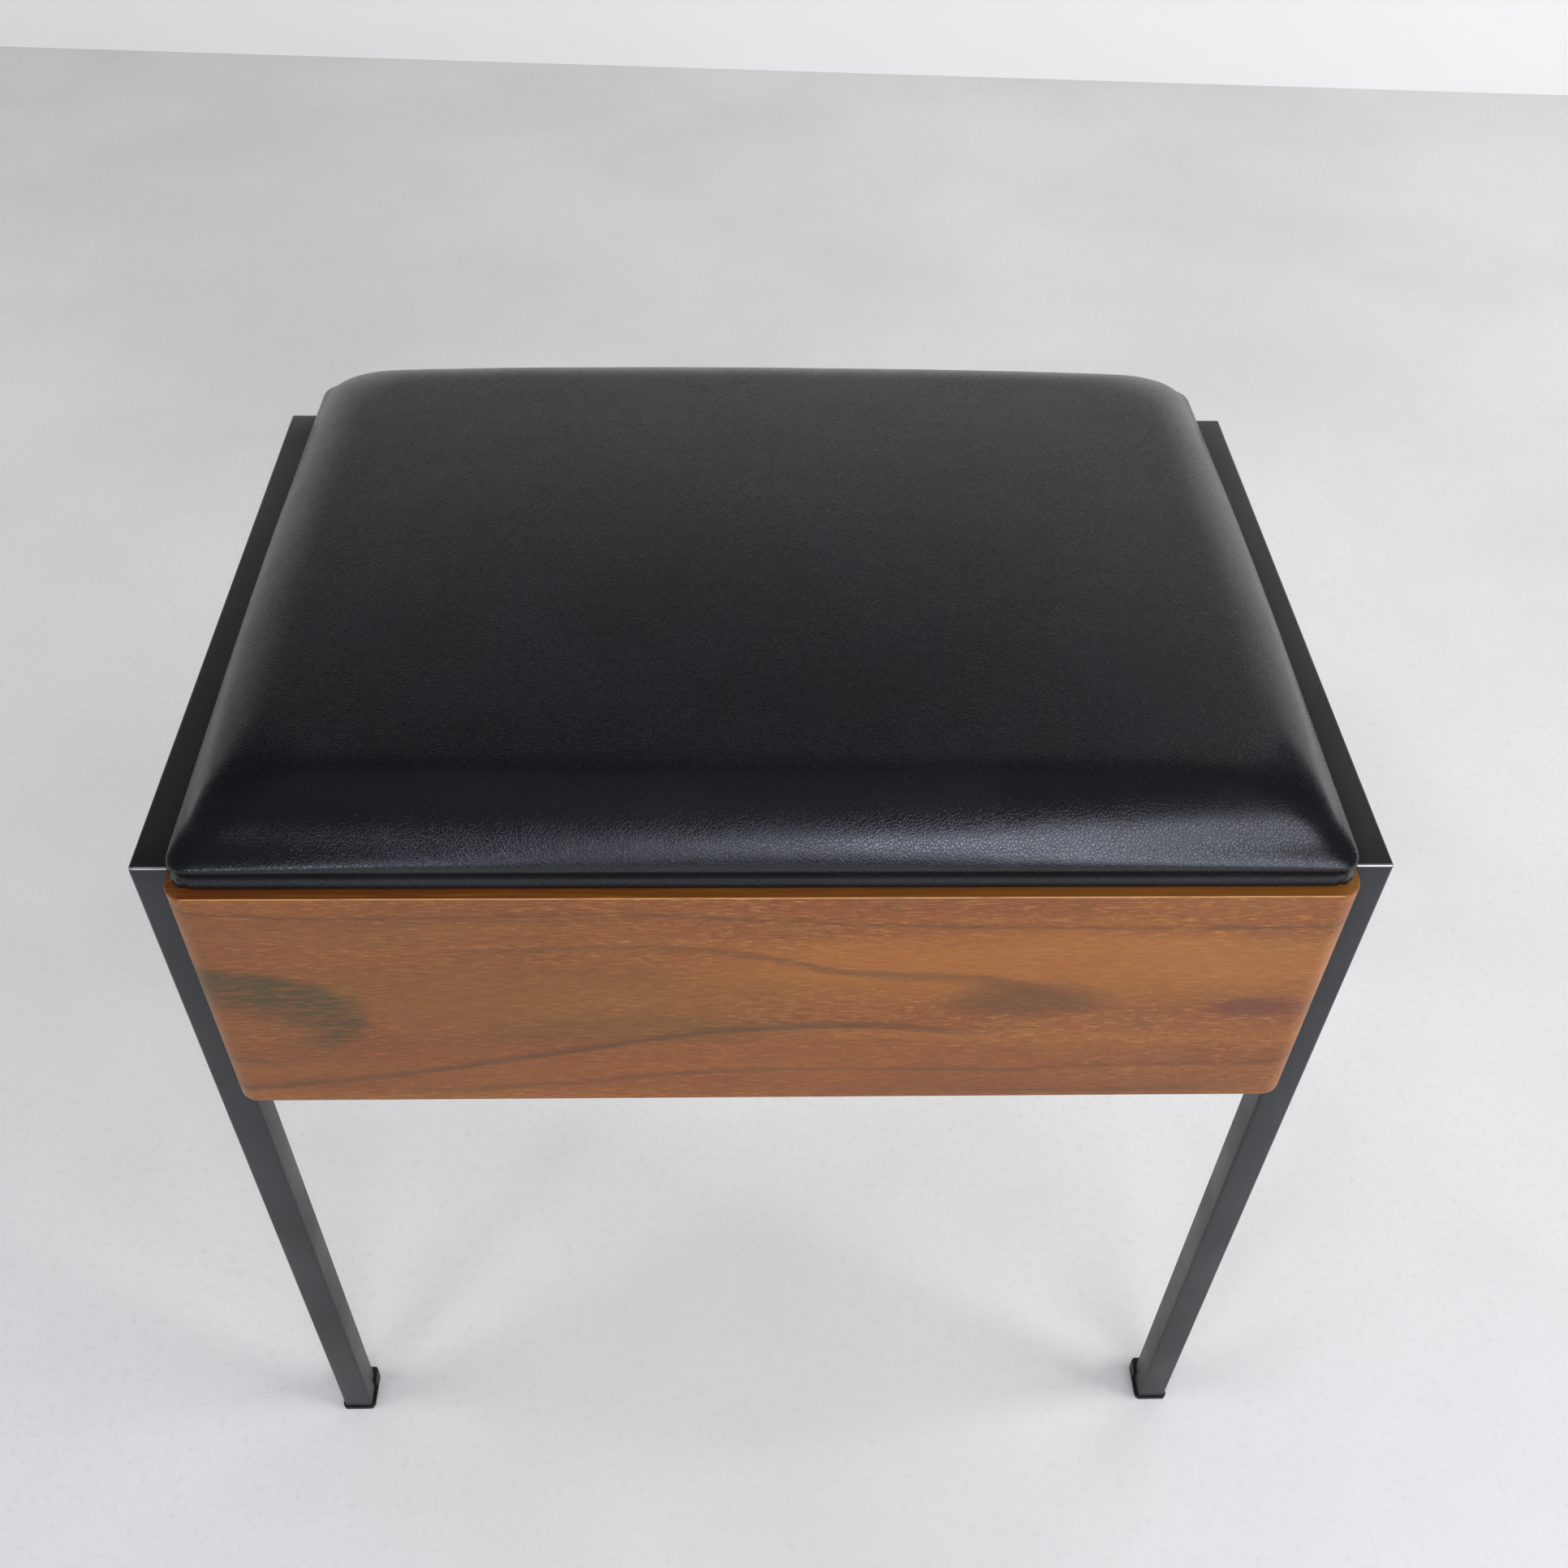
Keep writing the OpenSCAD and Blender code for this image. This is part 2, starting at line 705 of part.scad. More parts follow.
hinge_lid_leaf(1);  // right_hinge_lid_leaf
hinge_lid_screws();
lid_board();
seat_foam();
seat_cover();
cover_staples();
lid_lining();
lining_staples();
tray_long_wall(-1);  // tray_front
tray_long_wall(1);  // tray_rear
tray_end(tray_x);  // tray_left_end
tray_end(tray_x + tray_l - tray_wall);  // tray_right_end
tray_bottom();
tray_long_divider();
tray_cross_dividers();
thread_pegs();
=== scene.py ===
# %% [markdown]
# A sewing stool, dressed for its portrait.
# The real one is a teak-veneered box between two frames of black square tube, with a padded
# lid for a seat. The solids stand where they belong, in metres, with +Z up and the front
# towards -Y. This lesson gives them their finishes and adds what they leave plain: the
# stretched cover, slotted screws, welded corners and eased edges.

import math

import bmesh
import bpy
import numpy as np
from mathutils import Matrix, Vector, noise


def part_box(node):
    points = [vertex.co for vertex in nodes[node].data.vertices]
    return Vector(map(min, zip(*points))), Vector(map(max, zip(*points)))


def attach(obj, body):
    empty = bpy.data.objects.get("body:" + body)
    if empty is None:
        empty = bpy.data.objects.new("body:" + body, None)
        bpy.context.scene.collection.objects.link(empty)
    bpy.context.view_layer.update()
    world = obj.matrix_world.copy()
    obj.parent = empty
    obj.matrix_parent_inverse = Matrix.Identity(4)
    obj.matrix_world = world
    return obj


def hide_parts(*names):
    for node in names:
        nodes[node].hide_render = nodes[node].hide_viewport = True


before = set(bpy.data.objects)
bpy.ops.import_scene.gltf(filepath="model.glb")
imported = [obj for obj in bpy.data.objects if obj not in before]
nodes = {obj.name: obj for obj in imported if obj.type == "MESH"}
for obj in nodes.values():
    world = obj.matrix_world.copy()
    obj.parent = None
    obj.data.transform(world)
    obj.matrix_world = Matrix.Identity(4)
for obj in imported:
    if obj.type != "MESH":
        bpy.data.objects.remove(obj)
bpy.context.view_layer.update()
MM = 0.001

# %% [markdown]
# An operator acts on everything that is selected, and a freshly loaded scene has all of its
# solids selected. So every step deselects first, and then picks one piece, or some of its
# faces or edges, by where they lie.

# %% Selecting by hand, in code
def take(*pieces):
    """Selects these pieces and nothing else, in object mode, and makes the first one active."""
    if bpy.context.object and bpy.context.object.mode != "OBJECT":
        bpy.ops.object.mode_set(mode="OBJECT")
    bpy.ops.object.select_all(action="DESELECT")
    for piece in pieces:
        piece.select_set(True)
    bpy.context.view_layer.objects.active = pieces[0]


def edit(piece):
    """Goes into edit mode on one piece."""
    take(piece)
    bpy.ops.object.mode_set(mode="EDIT")


def choose(kind, test):
    """In edit mode, selects the faces or edges that pass a test, and no others."""
    bpy.ops.mesh.select_mode(type={"edges": "EDGE", "faces": "FACE"}[kind])
    bpy.ops.mesh.select_all(action="DESELECT")
    mesh = bmesh.from_edit_mesh(bpy.context.object.data)
    for part in [part for part in getattr(mesh, kind) if test(part)]:
        part.select_set(True)
    mesh.select_flush_mode()
    bmesh.update_edit_mesh(bpy.context.object.data)


def middle(part):
    """The middle of a face or an edge."""
    return sum((vert.co for vert in part.verts), Vector()) / len(part.verts)


# %% [markdown]
# A finished piece keeps its object at the origin, unturned and unscaled, with its place in
# its mesh. Patterns then stay where they are when the lid opens or the tray slides.

# %% Finishing a piece
def new_object(name, data):
    """A new object in the scene, at the origin, with this data."""
    made = bpy.data.objects.new(name, data)
    bpy.context.scene.collection.objects.link(made)
    return made


def modify(piece, kind, **settings):
    """Adds a modifier to a piece and applies it."""
    take(piece)
    modifier = piece.modifiers.new(kind, kind)
    for name, value in settings.items():
        setattr(modifier, name, value)
    bpy.ops.object.modifier_apply(modifier=modifier.name)


def coat(piece, material):
    piece.data.materials.clear()
    piece.data.materials.append(material)


def finish_piece(piece, name, body, material, stands_for, smooth):
    """Applies a piece's place, names it, gives it its finish and lets it ride on its body.
    Its edges stay sharp where they turn by more than smooth degrees."""
    take(piece)
    bpy.ops.object.transform_apply(location=True, rotation=True, scale=True)
    bpy.ops.object.shade_smooth_by_angle(angle=math.radians(smooth))
    piece.name = piece.data.name = name
    coat(piece, material)
    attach(piece, body)
    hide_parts(*stands_for)
    return piece


# %% [markdown]
# The camera comes first, because everything is judged through it. It is close in front of
# the stool, 0.88 m up, and looks down at about 45 degrees, a little turned and rolled. Its
# place was worked out from the corners of the frame, so the model and the picture can be
# laid over each other.

# %% The camera
PICTURE_W = 1932
FOCAL_PIXELS = 1950.1
CAMERA_PLACE = Vector((-11.2, -534.4, 876.6)) * MM
CAMERA_DOWN = math.radians(44.95)
CAMERA_RIGHT = math.radians(2.39)
CAMERA_ROLL = math.radians(1.63)


def make_camera():
    data = bpy.data.cameras.new("camera")
    data.sensor_width = 36
    data.lens = FOCAL_PIXELS / PICTURE_W * data.sensor_width
    data.clip_start, data.clip_end = 0.05, 50
    stand = Matrix.Translation(CAMERA_PLACE)
    level = math.pi / 2
    for angle, axis in ((-CAMERA_RIGHT, "Z"), (level - CAMERA_DOWN, "X"), (CAMERA_ROLL, "Z")):
        stand = stand @ Matrix.Rotation(angle, 4, axis)
    bpy.context.scene.camera = new_object("camera", data)
    bpy.context.scene.camera.matrix_world = stand
    print("lens in mm:", round(data.lens, 2))


make_camera()

# %% [markdown]
# Materials are built from nodes. One function turns a written colour into the linear numbers
# that Blender works in, one adds a node with its settings and links, and two more open and
# close a material. Every pattern's size is a real size in millimetres.

# %% Writing materials
def linear(hex_colour):
    """A written sRGB colour as linear red, green, blue and alpha."""
    parts = [int(hex_colour[i:i + 2], 16) / 255 for i in (1, 3, 5)]
    return (*[c / 12.92 if c <= 0.04045 else ((c + 0.055) / 1.055) ** 2.4 for c in parts], 1)


def add(tree, kind, into, out=0, **settings):
    """Adds one node and gives back one of its outputs. into fills its sockets, by name or by
    number, with a number, a written colour or another node's output."""
    node = tree.nodes.new("ShaderNode" + kind)
    for name, value in settings.items():
        setattr(node, name, value)
    for socket, value in into.items():
        if isinstance(value, bpy.types.NodeSocket):
            tree.links.new(value, node.inputs[socket])
        else:
            node.inputs[socket].default_value = linear(value) if isinstance(value, str) else value
    return node.outputs[out]


def open_material(name, constants):
    """A material with constants on its shader. Gives back it, its nodes and the place on the
    piece, from which every pattern is read."""
    material = bpy.data.materials.new(name)
    material.use_nodes = True
    tree = material.node_tree
    for socket, value in constants.items():
        tree.nodes["Principled BSDF"].inputs[socket].default_value = value
    return material, tree, add(tree, "TexCoord", {}, "Object")


def close_material(material, patterns):
    """Links patterns into the sockets of a material's shader, by name."""
    tree = material.node_tree
    for socket, pattern in patterns.items():
        tree.links.new(pattern, tree.nodes["Principled BSDF"].inputs[socket])
    return material


# %% [markdown]
# Nearly every natural surface is a ground colour with stains over it: blotches, fibres,
# pores, dust. Each stain is soft noise, stretched to its real size along each axis. So a
# finish is a short table of stains, and one recipe mixes it.

# %% Stains, the recipe behind every finish
def stain_mask(tree, place, size, detail, shift, low, high, least=0.0, most=1.0):
    """least where noise of a size in mm (one number, or one per axis) is below low, most
    where it is above high, eased between."""
    sizes = size if hasattr(size, "__len__") else [size] * 3
    stretched = add(tree, "Mapping", {
        "Vector": place, "Location": [shift] * 3, "Scale": [1 / (s * MM) for s in sizes],
    })
    noisy = add(tree, "TexNoise", {
        "Vector": stretched, "Scale": 1, "Detail": detail, "Roughness": 0.55,
    })
    return add(tree, "MapRange", {0: noisy, 1: low, 2: high, 3: least, 4: most},
               interpolation_type="SMOOTHSTEP")


def stained(tree, place, ground, stains):
    """Lays stains over a ground colour. Each is (dye, size, detail, shift, low, high, most), or
    (dye, mask) where the mask is there already."""
    colour = ground
    for dye, size, *rest in stains:
        mask = stain_mask(tree, place, size, *rest[:-1], 0, rest[-1]) if rest else size
        colour = add(tree, "Mix", {0: mask, 6: colour, 7: dye}, 2, data_type="RGBA")
    return colour


# %% [markdown]
# Black stoving enamel on welded steel tube: a satin coat with a faint orange peel, polished
# in blotches and greyed by dust. On the sharp outer corners, where rail and leg meet in a
# mitre, it has worn through to bare steel. That line is drawn where the corner is, so it
# needs no second material.

# %% Black enamel
ENAMEL_BLACK = "#131416"
BARE_STEEL = "#C9C6C2"
STEEL_WORN = 0.9 * MM, 0.45 * MM
PEEL_DEPTH = 0.012 * MM


def near_corner(tree, place, node, reach, mask):
    """A mask that is left only near a node's top and its front or back: it starts reach[0]
    away from them and is whole from reach[1]."""
    low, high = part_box(node)
    y, z = (add(tree, "SeparateXYZ", {0: place}, axis) for axis in "YZ")
    depth = add(tree, "Math", {0: y}, operation="ABSOLUTE")
    for along, edge in ((z, high.z), (depth, -low.y)):
        near = add(tree, "MapRange", {0: along, 1: edge - reach[0], 2: edge - reach[1]})
        mask = add(tree, "Math", {0: mask, 1: near}, operation="MULTIPLY")
    return mask


def black_enamel():
    material, tree, place = open_material("black_stoving_enamel", {"IOR": 1.5})
    patchy = stain_mask(tree, place, 2.5, 2, 0, 0.25, 0.40)
    bare = near_corner(tree, place, "left_front_leg", STEEL_WORN, patchy)
    peel = stain_mask(tree, place, 0.9, 2, 0, 0.2, 0.8)
    return close_material(material, {
        "Base Color": stained(tree, place, ENAMEL_BLACK, [
            ("#1E2023", 6, 5, 0, 0.50, 0.80, 0.6),
            ("#0C0D0E", 70, 3, 5, 0.45, 0.70, 0.7),
            (BARE_STEEL, bare),
        ]),
        "Metallic": bare,
        "Roughness": stain_mask(tree, place, 45, 4, 2, 0.3, 0.7, 0.34, 0.46),
        "Normal": add(tree, "Bump", {"Height": peel, "Distance": PEEL_DEPTH}),
    })


# %% [markdown]
# Moulded polyethylene, for the feet: soft black plastic with a dull bloom and fine
# scratches, a little rougher than the enamel.

# %% Black plastic
PIT_DEPTH = 0.02 * MM


def black_plastic():
    material, tree, place = open_material("moulded_polyethylene", {"IOR": 1.5})
    pitted = stain_mask(tree, place, 0.6, 3, 0, 0.3, 0.7)
    return close_material(material, {
        "Base Color": stained(tree, place, "#0C0C0D", [
            ("#1C1C1D", 4, 5, 0, 0.40, 0.80, 0.9),
            ("#3A3835", (3, 3, 0.8), 2, 4, 0.62, 0.75, 0.5),
        ]),
        "Roughness": stain_mask(tree, place, 3, 3, 1, 0.3, 0.7, 0.38, 0.58),
        "Normal": add(tree, "Bump", {"Height": pitted, "Distance": PIT_DEPTH}),
    })


# %% [markdown]
# Teak veneer is a thin slice of a log, glued on and varnished. Cut at a flat angle, the
# growth rings draw long pointed flames, with a dark line at each ring. Over that lie fine
# fibres along the grain, short dark pores, and a faint ripple across it. All of them but the
# rings are stains, drawn out along the grain.

# %% Teak, the layers that every panel has
TEAK_GROUND, TEAK_PORES = "#814C20", "#3D2210"
# dye, length and width in mm, detail, shift, low, high, most
TEAK_STAINS = [
    ("#75411C", 110, 42, 2, 3, 0.35, 0.65, 1.0),
    ("#935F26", 260, 11, 4, 0, 0.42, 0.75, 0.65),
    ("#603814", 220, 16, 3, 7, 0.50, 0.80, 0.45),
    ("#654F20", 26, 8, 3, 17, 0.50, 0.78, 0.35),
    ("#834023", 20, 7, 3, 19, 0.50, 0.78, 0.35),
    ("#593214", 9, 0.5, 3, 11, 0.42, 0.66, 0.65),
    ("#B07A3C", 6, 0.45, 2, 13, 0.52, 0.74, 0.60),
    ("#593214", 1.1, 3.5, 2, 5, 0.45, 0.75, 0.18),
]
PORE_DEPTH = 0.02 * MM


def drawn_out(along, length, width):
    """A stain's size for grain along X (0) or along Y (1)."""
    size = [width] * 3
    size[along] = length
    return size


def grained(along, stains):
    """Stains with a length and a width, as stains with a size per axis."""
    return [(dye, drawn_out(along, length, width), *rest) for dye, length, width, *rest in stains]


def teak_layers(tree, place, along):
    """The colour of plain teak, and its pores as a mask."""
    pores = stain_mask(tree, place, drawn_out(along, 3.4, 0.3), 1, 2, 0.58, 0.70, 0, 0.60)
    stains = grained(along, TEAK_STAINS) + [(TEAK_PORES, pores)]
    return stained(tree, place, TEAK_GROUND, stains), pores


# %% [markdown]
# Along the rim every panel shows the edge of its board, oiled to a deep golden brown and
# painted darker towards the left as painted shade. The sharp edge itself is worn pale, and
# that pale line is a painted highlight too. Satin varnish closes the wood, and the pores are
# small dents in it.

# %% Teak, the rim
RIM_OILED = 0.3 * MM, 0.1 * MM
# how far the pale edge line reaches; it is wear and a painted highlight
RIM_WEAR_AND_HIGHLIGHT = 0.5 * MM, 0.3 * MM


def rim_colour(tree, place, colour):
    """Lays the rim's golden top face, painted darker towards the left, and its pale edge, worn and
    painted as a highlight, over a panel's colour.
    """
    low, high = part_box("box_front")
    x, z = (add(tree, "SeparateXYZ", {0: place}, axis) for axis in "XZ")
    # painted shade: the rim's gold darkens towards the left
    across = add(tree, "MapRange", {0: x, 1: low.x, 2: high.x})
    gold = stained(tree, place, "#5E2F12", [
        ("#7A4C1C", across), ("#94601F", (40, 2, 2), 3, 0, 0.45, 0.8, 0.5),
    ])
    top = add(tree, "MapRange", {0: z, 1: high.z - RIM_OILED[0], 2: high.z - RIM_OILED[1]})
    rubbed = stain_mask(tree, place, (18, 3, 3), 2, 0, 0.3, 0.5, 0.3, 0.8)
    # painted highlight: the worn edge is drawn pale, like the light its rounded arris catches
    worn = near_corner(tree, place, "box_front", RIM_WEAR_AND_HIGHLIGHT, rubbed)
    return stained(tree, place, colour, [(gold, top), ("#BE8A52", worn)])


def varnished(material, place, colour, pores):
    tree = material.node_tree
    closed = add(tree, "Math", {0: 1.0, 1: pores}, operation="SUBTRACT")
    return close_material(material, {
        "Base Color": rim_colour(tree, place, colour),
        "Roughness": stain_mask(tree, place, 30, 4, 0, 0.3, 0.7, 0.36, 0.46),
        "Normal": add(tree, "Bump", {"Height": closed, "Distance": PORE_DEPTH}),
    })


# %% [markdown]
# The front panel is what one remembers of this stool, so its rings are drawn one by one, as
# curves over the panel's width. A line is dark on its curve and fades faster on the outside
# of the flame than on its inside, as late wood does. Noise shakes the place where the curve
# is read, which makes the line ragged.

# %% Teak, a ring line
PANEL_HALF = 216 * MM
TIP_START, TIP = 20 * MM, 126 * MM
START_FADE, END_FADE = 40 * MM, 38 * MM


def ring_line(tree, x, z, points, inside, outside, tip_grows, darkness):
    """How dark one ring line makes the wood: darkness on a curve through points (x, z) in mm,
    fading over inside mm on the flame's side and over outside mm on the other."""
    low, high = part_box("box_front")
    along = add(tree, "MapRange", {0: x, 1: -PANEL_HALF, 2: PANEL_HALF})
    curve = add(tree, "FloatCurve", {"Value": along})
    spots = [(((px * MM) + PANEL_HALF) / (2 * PANEL_HALF), (pz * MM - low.z) / (high.z - low.z))
             for px, pz in points]
    ends = [(0.0, spots[0][1])] * (spots[0][0] > 0), [(1.0, spots[-1][1])] * (spots[-1][0] < 1)
    spots = ends[0] + spots + ends[1]
    line = curve.node.mapping.curves[0]
    line.points[0].location, line.points[1].location = spots[0], spots[-1]
    for spot in spots[1:-1]:
        line.points.new(*spot)
    curve.node.mapping.update()
    height = add(tree, "MapRange", {0: curve, 3: low.z, 4: high.z})
    offset = add(tree, "Math", {0: z, 1: height}, operation="SUBTRACT")
    grown = add(tree, "MapRange", {0: x, 1: TIP_START, 2: TIP, 3: 1, 4: tip_grows})
    offset = add(tree, "Math", {0: offset, 1: grown}, operation="DIVIDE")
    masks = [add(tree, "MapRange", {0: offset, 1: 0, 2: reach * MM, 3: 1, 4: 0},
                 interpolation_type="SMOOTHERSTEP") for reach in (inside, outside)]
    for end, fade in ((points[0][0] * MM, START_FADE), (points[-1][0] * MM, -END_FADE)):
        if abs(end) < PANEL_HALF:
            masks.append(add(tree, "MapRange", {0: x, 1: end, 2: end + fade}))
    dark = darkness
    for mask in masks:
        dark = add(tree, "Math", {0: dark, 1: mask}, operation="MULTIPLY")
    return dark


def oval(tree, x, z, centre, half, soft):
    """1 inside an upright oval on the front panel, easing to 0 round it. Sizes in mm."""
    squares = []
    for along, middle_mm, half_mm in ((x, centre[0], half[0]), (z, centre[1], half[1])):
        share = add(tree, "MapRange", {
            0: along, 1: (middle_mm - half_mm) * MM, 2: (middle_mm + half_mm) * MM, 3: -1, 4: 1,
        }, clamp=False)
        squares.append(add(tree, "Math", {0: share, 1: 2.0}, operation="POWER"))
    reach = add(tree, "Math", {0: squares[0], 1: squares[1]})
    return add(tree, "MapRange", {0: reach, 1: 1 - soft, 2: 1 + soft, 3: 1, 4: 0},
               interpolation_type="SMOOTHSTEP")


# %% Teak, the flame on the front panel
# points, fade inside, fade outside, growth at the tip, darkness
RING_LINES = [
    ([(-216, 444), (-180, 440), (-147, 439), (-50, 441), (10, 437), (60, 434), (216, 433)],
     2.2, -1.2, 1.0, 0.48),
    ([(-138, 420), (-105, 421), (-49, 423), (0, 417), (25, 409), (50, 406), (78, 404),
      (98, 399), (112, 393), (121, 386), (126, 381)], -4.6, 2.0, 2.4, 0.50),
    ([(-216, 333), (-160, 340), (-130, 346), (-77, 358), (-22, 370), (10, 373), (34, 374),
      (56, 372), (76, 369), (103, 370)], 5.0, -2.0, 1.3, 0.62),
    ([(-170, 329), (-66, 338), (-22, 344), (34, 345), (90, 344), (145, 347), (201, 348),
      (216, 355)], 3.6, -2.0, 1.0, 0.42),
    ([(-216, 353), (-190, 353), (-163, 360)], 3.4, -1.8, 1.0, 0.45),
    ([(67, 330), (140, 329), (206, 331)], 3.5, -2.0, 1.0, 0.40),
]
LATE_WOOD = "#3F2C1C"
SHAKE = 5 * MM
# dye, centre, half, strength
TONES = [
    ("#5A341A", (-200, 390), (120, 70), 0.35),
    ("#624119", (-75, 395), (95, 20), 0.45),
    ("#513919", (-45, 372), (60, 8), 0.45),
    ("#68381A", (-20, 348), (220, 20), 0.40),
    ("#905923", (110, 410), (120, 20), 0.50),
    ("#5C381C", (-110, 432), (110, 9), 0.30),
    ("#653920", (120, 328), (110, 9), 0.45),
    ("#3E2A16", (100, 390), (30, 10), 0.55),
    ("#532D20", (190, 385), (17, 6), 0.70),
]
TONE_SOFT = 0.9


def teak_front():
    material, tree, place = open_material("teak_veneer_flame", {"IOR": 1.4})
    colour, pores = teak_layers(tree, place, 0)
    stretched = add(tree, "Mapping", {"Vector": place, "Scale": (1 / (16 * MM), 90, 1 / (4 * MM))})
    shake = add(tree, "TexNoise", {
        "Vector": stretched, "Scale": 1, "Detail": 4, "Roughness": 0.75,
    }, "Color")
    centred = add(tree, "VectorMath", {0: shake, 1: (0.5, 0.5, 0.5)}, operation="SUBTRACT")
    moved = add(tree, "VectorMath", {0: centred, 1: (SHAKE,) * 3, 2: place},
                operation="MULTIPLY_ADD")
    x, z = (add(tree, "SeparateXYZ", {0: moved}, axis) for axis in "XZ")
    for dye, centre, half, most in TONES:
        tone = add(tree, "Math", {0: oval(tree, x, z, centre, half, TONE_SOFT), 1: most},
                   operation="MULTIPLY")
        colour = stained(tree, place, colour, [(dye, tone)])
    broken = stain_mask(tree, place, (45, 3, 3), 3, 9, 0.25, 0.60, 0.5, 1)
    for line in RING_LINES:
        dark = add(tree, "Math", {0: ring_line(tree, x, z, *line), 1: broken}, operation="MULTIPLY")
        colour = stained(tree, place, colour, [(LATE_WOOD, dark)])
    patch = add(tree, "Math", {
        0: oval(tree, x, z, (-213, 381), (60, 29), 0.22),
        1: oval(tree, x, z, (-224, 362), (50, 27), 0.55),
    }, operation="SUBTRACT", use_clamp=True)
    mottle = stain_mask(tree, place, (7, 1.2, 1.2), 3, 1, 0.35, 0.60, 0.40, 0.95)
    patch = add(tree, "Math", {0: patch, 1: mottle}, operation="MULTIPLY")
    return varnished(material, place, stained(tree, place, colour, [("#40331B", patch)]), pores)


# %% [markdown]
# The other panels come from the same log, so they have the same layers, but their rings are
# free: long ovals inside each other, pushed about by noise.

# %% Teak, the other panels
def teak_panel(name, along, shift):
    material, tree, place = open_material(name, {"IOR": 1.4})
    colour, pores = teak_layers(tree, place, along)
    stretched = add(tree, "Mapping", {
        "Vector": place, "Location": (shift, shift, -14),
        "Scale": [1 / (s * MM) for s in drawn_out(along, 420, 26)],
    })
    rings = add(tree, "TexWave", {
        "Vector": stretched, "Scale": 0.3, "Distortion": 3, "Detail": 3, "Detail Scale": 0.7,
    }, 1, wave_type="RINGS", rings_direction="SPHERICAL")
    lines = add(tree, "MapRange", {0: rings, 1: 0.8, 2: 0.98, 3: 0, 4: 0.55})
    return varnished(material, place, stained(tree, place, colour, [("#46301E", lines)]), pores)


# %% [markdown]
# Inside, the woods are plainer: brown plywood for the bottom, pale beech for the tray, the
# runners and the pegs, with short dark flecks where teak has pores.

# %% Beech and plywood
FIBRE_DEPTH = 0.03 * MM


def plain_wood(name, along, light, dark, fleck, rough):
    material, tree, place = open_material(name, {"IOR": 1.5})
    fibres = stain_mask(tree, place, drawn_out(along, 12, 0.5), 2, 6, 0.3, 0.7)
    return close_material(material, {
        "Base Color": stained(tree, place, light, grained(along, [
            (dark, 140, 7, 4, 0, 0.30, 0.70, 1.0),
            (dark, 30, 0.7, 3, 4, 0.40, 0.70, 0.35),
            (fleck, 2.6, 0.45, 1, 8, 0.64, 0.72, 0.6),
        ])),
        "Roughness": stain_mask(tree, place, drawn_out(along, 20, 3), 3, 0, 0.3, 0.7,
                                rough - 0.06, rough + 0.08),
        "Normal": add(tree, "Bump", {"Height": fibres, "Distance": FIBRE_DEPTH, "Strength": 0.6}),
    })


# %% [markdown]
# Leather cloth is black PVC on a woven back, embossed like hide and pulled tight over the
# foam: a net of flat cells with fine creases between them, about a millimetre across. It
# shows only where light grazes it, so it lives in the bump and a little in the gloss. The
# black is slightly blue. In the fold round the foot of the seat its shine is turned down, as
# painted shade.

# %% Black leather cloth
GRAIN_CELL, GRAIN_STIR, GRAIN_SHIFT = 1.3 * MM, 2.2 * MM, 1.1 * MM
GRAIN_LINE = 0.16
GRAIN_DEPTH = 0.038 * MM
# heights where the fold's painted shade begins and where it is full, from below and from above
FOLD_SHADE = ((454.4 * MM, 456 * MM), (460 * MM, 458.2 * MM))
SHINE, FOLD_SHADE_SHINE = 0.5, 0.1


def leather_cloth():
    material, tree, place = open_material("embossed_pvc_leather_cloth", {"IOR": 1.45})
    stir = add(tree, "TexNoise", {"Vector": place, "Scale": 1 / GRAIN_STIR, "Detail": 2}, "Color")
    stirred = add(tree, "VectorMath", {0: stir, 1: (GRAIN_SHIFT,) * 3, 2: place},
                  operation="MULTIPLY_ADD")
    cells = add(tree, "TexVoronoi", {"Vector": stirred, "Scale": 1 / GRAIN_CELL},
                feature="DISTANCE_TO_EDGE")
    net = add(tree, "MapRange", {0: cells, 1: 0, 2: GRAIN_LINE}, interpolation_type="SMOOTHSTEP")
    pebble = stain_mask(tree, place, 0.45, 2, 0, 0.3, 0.7, 0, 0.5)
    height = add(tree, "Math", {0: net, 1: pebble})
    worn = stained(tree, place, "#0C0D10", [("#121419", 55, 4, 0, 0.35, 0.70, 1.0)])
    gloss = stain_mask(tree, place, 55, 4, 3, 0.3, 0.7, 0.20, 0.26)
    creased = add(tree, "MapRange", {0: net, 3: 0.08, 4: 0})
    z = add(tree, "SeparateXYZ", {0: place}, "Z")
    folded = 1.0
    for begins, full in FOLD_SHADE:
        within = add(tree, "MapRange", {0: z, 1: begins, 2: full}, interpolation_type="SMOOTHSTEP")
        folded = add(tree, "Math", {0: folded, 1: within}, operation="MULTIPLY")
    return close_material(material, {
        "Base Color": stained(tree, place, "#08090A", [(worn, net)]),
        "Roughness": add(tree, "Math", {0: gloss, 1: creased}),
        # painted shade: the fold's shine is turned down
        "Specular IOR Level": add(tree, "MapRange", {0: folded, 3: SHINE, 4: FOLD_SHADE_SHINE}),
        "Normal": add(tree, "Bump", {"Height": height, "Distance": GRAIN_DEPTH, "Strength": 0.8}),
    })


# %% [markdown]
# Under the lid a dark cotton lining hides the folded edge of the cover. Its weave is two
# sets of waves at right angles, drawn at 0.9 mm, because the real 0.4 mm would be too fine
# for a picture.

# %% Woven lining
THREAD_PITCH = 0.9 * MM
THREAD_DEPTH = 0.15 * MM
WAVES_PER_SCALE = 20 / math.tau


